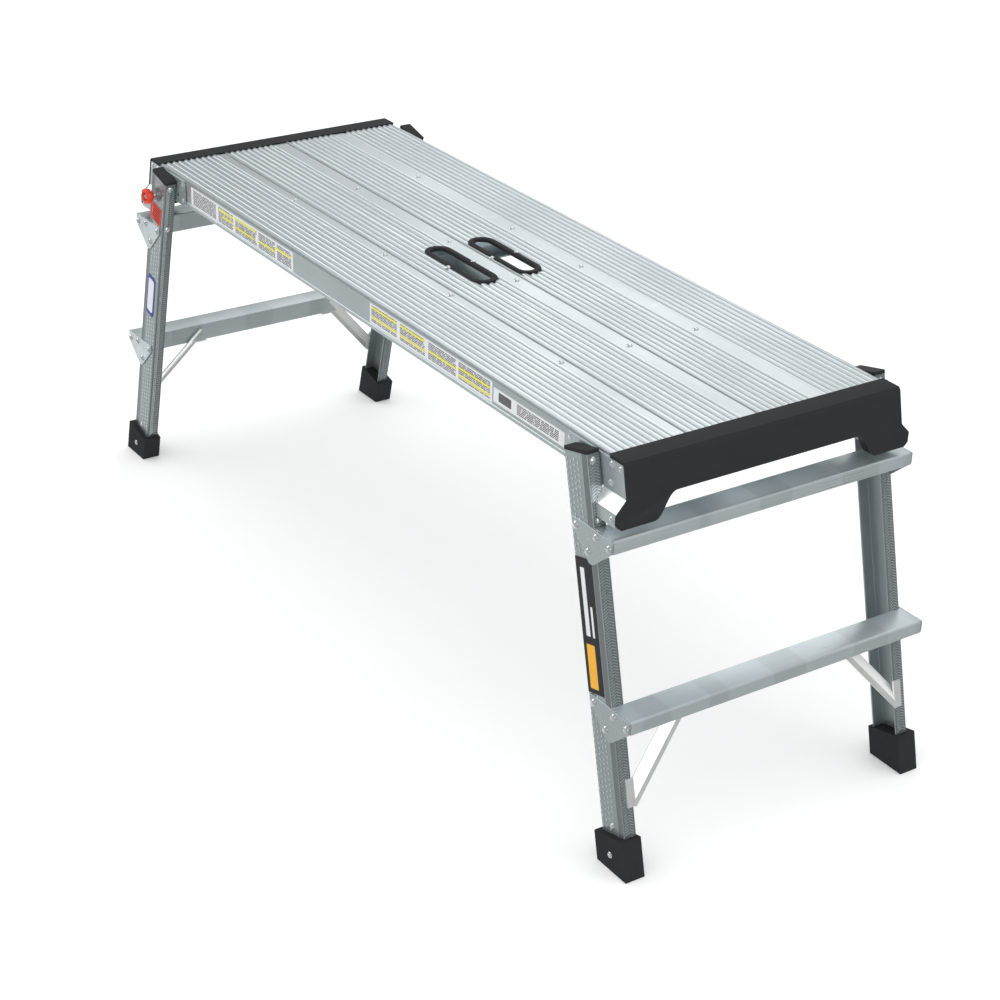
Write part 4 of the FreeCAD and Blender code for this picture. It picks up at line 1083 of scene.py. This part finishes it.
floor = bpy.data.meshes.new("floor")
reach = 30.0
floor.from_pydata([(-reach, -reach, 0), (reach, -reach, 0), (reach, reach, 0), (-reach, reach, 0)],
                  [], [(0, 1, 2, 3)])
ground = bpy.data.objects.new("floor", floor)
bpy.context.scene.collection.objects.link(ground)
ground.location.z = -0.5 * MM
ground.visible_glossy = False
n = Nodes("floor")
tone = n.noise((2, 2, 2), detail=3.0)
n.link(n.mix(n.remap(tone, 0, 1), (0.90, 0.90, 0.90), (0.92, 0.92, 0.92)),
       n.shader.inputs["Base Color"])
n.shader.inputs["Roughness"].default_value = 0.9
n.shader.inputs["Specular IOR Level"].default_value = 0.0
n.shader.inputs["Emission Color"].default_value = (1, 1, 1, 1)
n.shader.inputs["Emission Strength"].default_value = FLOOR_GLOW
floor.materials.append(n.material)

# The camera and diffuse rays meet plain white; only reflections see the patches further down.
world = bpy.data.worlds.new("studio")
bpy.context.scene.world = world
world.use_nodes = True
world.cycles.sampling_method = "NONE"
tree = world.node_tree
tree.nodes.clear()
output = tree.nodes.new("ShaderNodeOutputWorld")
sky = tree.nodes.new("ShaderNodeBackground")
plain = tree.nodes.new("ShaderNodeBackground")
pick = tree.nodes.new("ShaderNodeMixShader")
path = tree.nodes.new("ShaderNodeLightPath")
coords = tree.nodes.new("ShaderNodeTexCoord")
even = tree.nodes.new("ShaderNodeMath")
even.operation = "MAXIMUM"
tree.links.new(path.outputs["Is Camera Ray"], even.inputs[0])
tree.links.new(path.outputs["Is Diffuse Ray"], even.inputs[1])
tree.links.new(even.outputs["Value"], pick.inputs["Fac"])
tree.links.new(sky.outputs["Background"], pick.inputs[1])
tree.links.new(plain.outputs["Background"], pick.inputs[2])
tree.links.new(pick.outputs["Shader"], output.inputs["Surface"])
plain.inputs["Color"].default_value = (1, 1, 1, 1)
plain.inputs["Strength"].default_value = PLAIN_LIGHT


def lobe(direction, low, high, value):
    """Soft patch of studio light around a direction: value where the dot product is high."""
    dot = tree.nodes.new("ShaderNodeVectorMath")
    dot.operation = "DOT_PRODUCT"
    dot.inputs[1].default_value = Vector(direction).normalized()
    tree.links.new(coords.outputs["Generated"], dot.inputs[0])
    ramp = tree.nodes.new("ShaderNodeMapRange")
    ramp.interpolation_type = "SMOOTHSTEP"
    ramp.inputs["From Min"].default_value = low
    ramp.inputs["From Max"].default_value = high
    ramp.inputs["To Min"].default_value = 0
    ramp.inputs["To Max"].default_value = value
    tree.links.new(dot.outputs["Value"], ramp.inputs["Value"])
    return ramp.outputs["Result"]


def add(a, b):
    """Sum of an output and either another output or a fixed number."""
    node = tree.nodes.new("ShaderNodeMath")
    node.operation = "ADD"
    tree.links.new(a, node.inputs[0])
    if isinstance(b, float):
        node.inputs[1].default_value = b
    else:
        tree.links.new(b, node.inputs[1])
    return node.outputs["Value"]


# Soft boxes as the metal sees them: direction, where the patch starts and is full, brightness.
PATCHES = [((-0.55, -0.58, -0.60), 0.78, 0.98, 0.26),
           ((-0.704, -0.458, 0.5435), 0.92, 0.985, 2.6),
           ((-0.73, 0.555, 0.40), 0.982, 0.999, 1.9),
           ((-0.55, 0.50, 0.67), 0.90, 0.99, 0.65),
           ((0.16, 0.987, 0.0), 0.85, 0.98, 0.9),
           ((0.857, -0.213, 0.466), 0.85, 0.98, 2.8),
           ((0.0, 0.5, 0.85), 0.85, 0.98, 0.8),
           ((-0.64, 0.53, -0.555), 0.70, 0.95, 1.6),
           ((0.0, 0.0, -1.0), 0.80, 0.95, 0.25),
           ((-0.836, -0.379, -0.396), 0.988, 0.9995, 1.1)]
light = None
for direction, begin, full, value in PATCHES:
    patch = lobe(direction, begin, full, value)
    light = add(patch, BASE_LIGHT) if light is None else add(light, patch)
tree.links.new(light, sky.inputs["Strength"])
sky.inputs["Color"].default_value = (1, 1, 1, 1)


def area_light(name, place, aim, size, power):
    data = bpy.data.lights.new(name, "AREA")
    data.shape = "SQUARE"
    data.size = size
    data.energy = power
    made = bpy.data.objects.new(name, data)
    made.location = place
    made.rotation_euler = (Vector(aim) - Vector(place)).to_track_quat("-Z", "Y").to_euler()
    made.visible_glossy = False
    bpy.context.scene.collection.objects.link(made)


area_light("key", (-1.6, -1.6, 3.2), (0, 0, 0.3), 2.4, 12)
area_light("fill", (2.6, 1.2, 3.0), (0.2, 0, 0.3), 2.4, 8)

camera = bpy.data.cameras.new("camera")
camera.lens = 79.63
camera.sensor_width = 36.0
view_from = bpy.data.objects.new("camera", camera)
bpy.context.scene.collection.objects.link(view_from)
right = Vector((0.55168, 0.83367, 0.02550))
up = Vector((-0.39468, 0.23400, 0.88852))
back = right.cross(up)
at = Vector((2.332, -1.548, 1.587))
view_from.matrix_world = Matrix(((right.x, up.x, back.x, at.x), (right.y, up.y, back.y, at.y),
                                 (right.z, up.z, back.z, at.z), (0, 0, 0, 1)))
bpy.context.scene.camera = view_from
bpy.context.scene.view_settings.view_transform = "Standard"
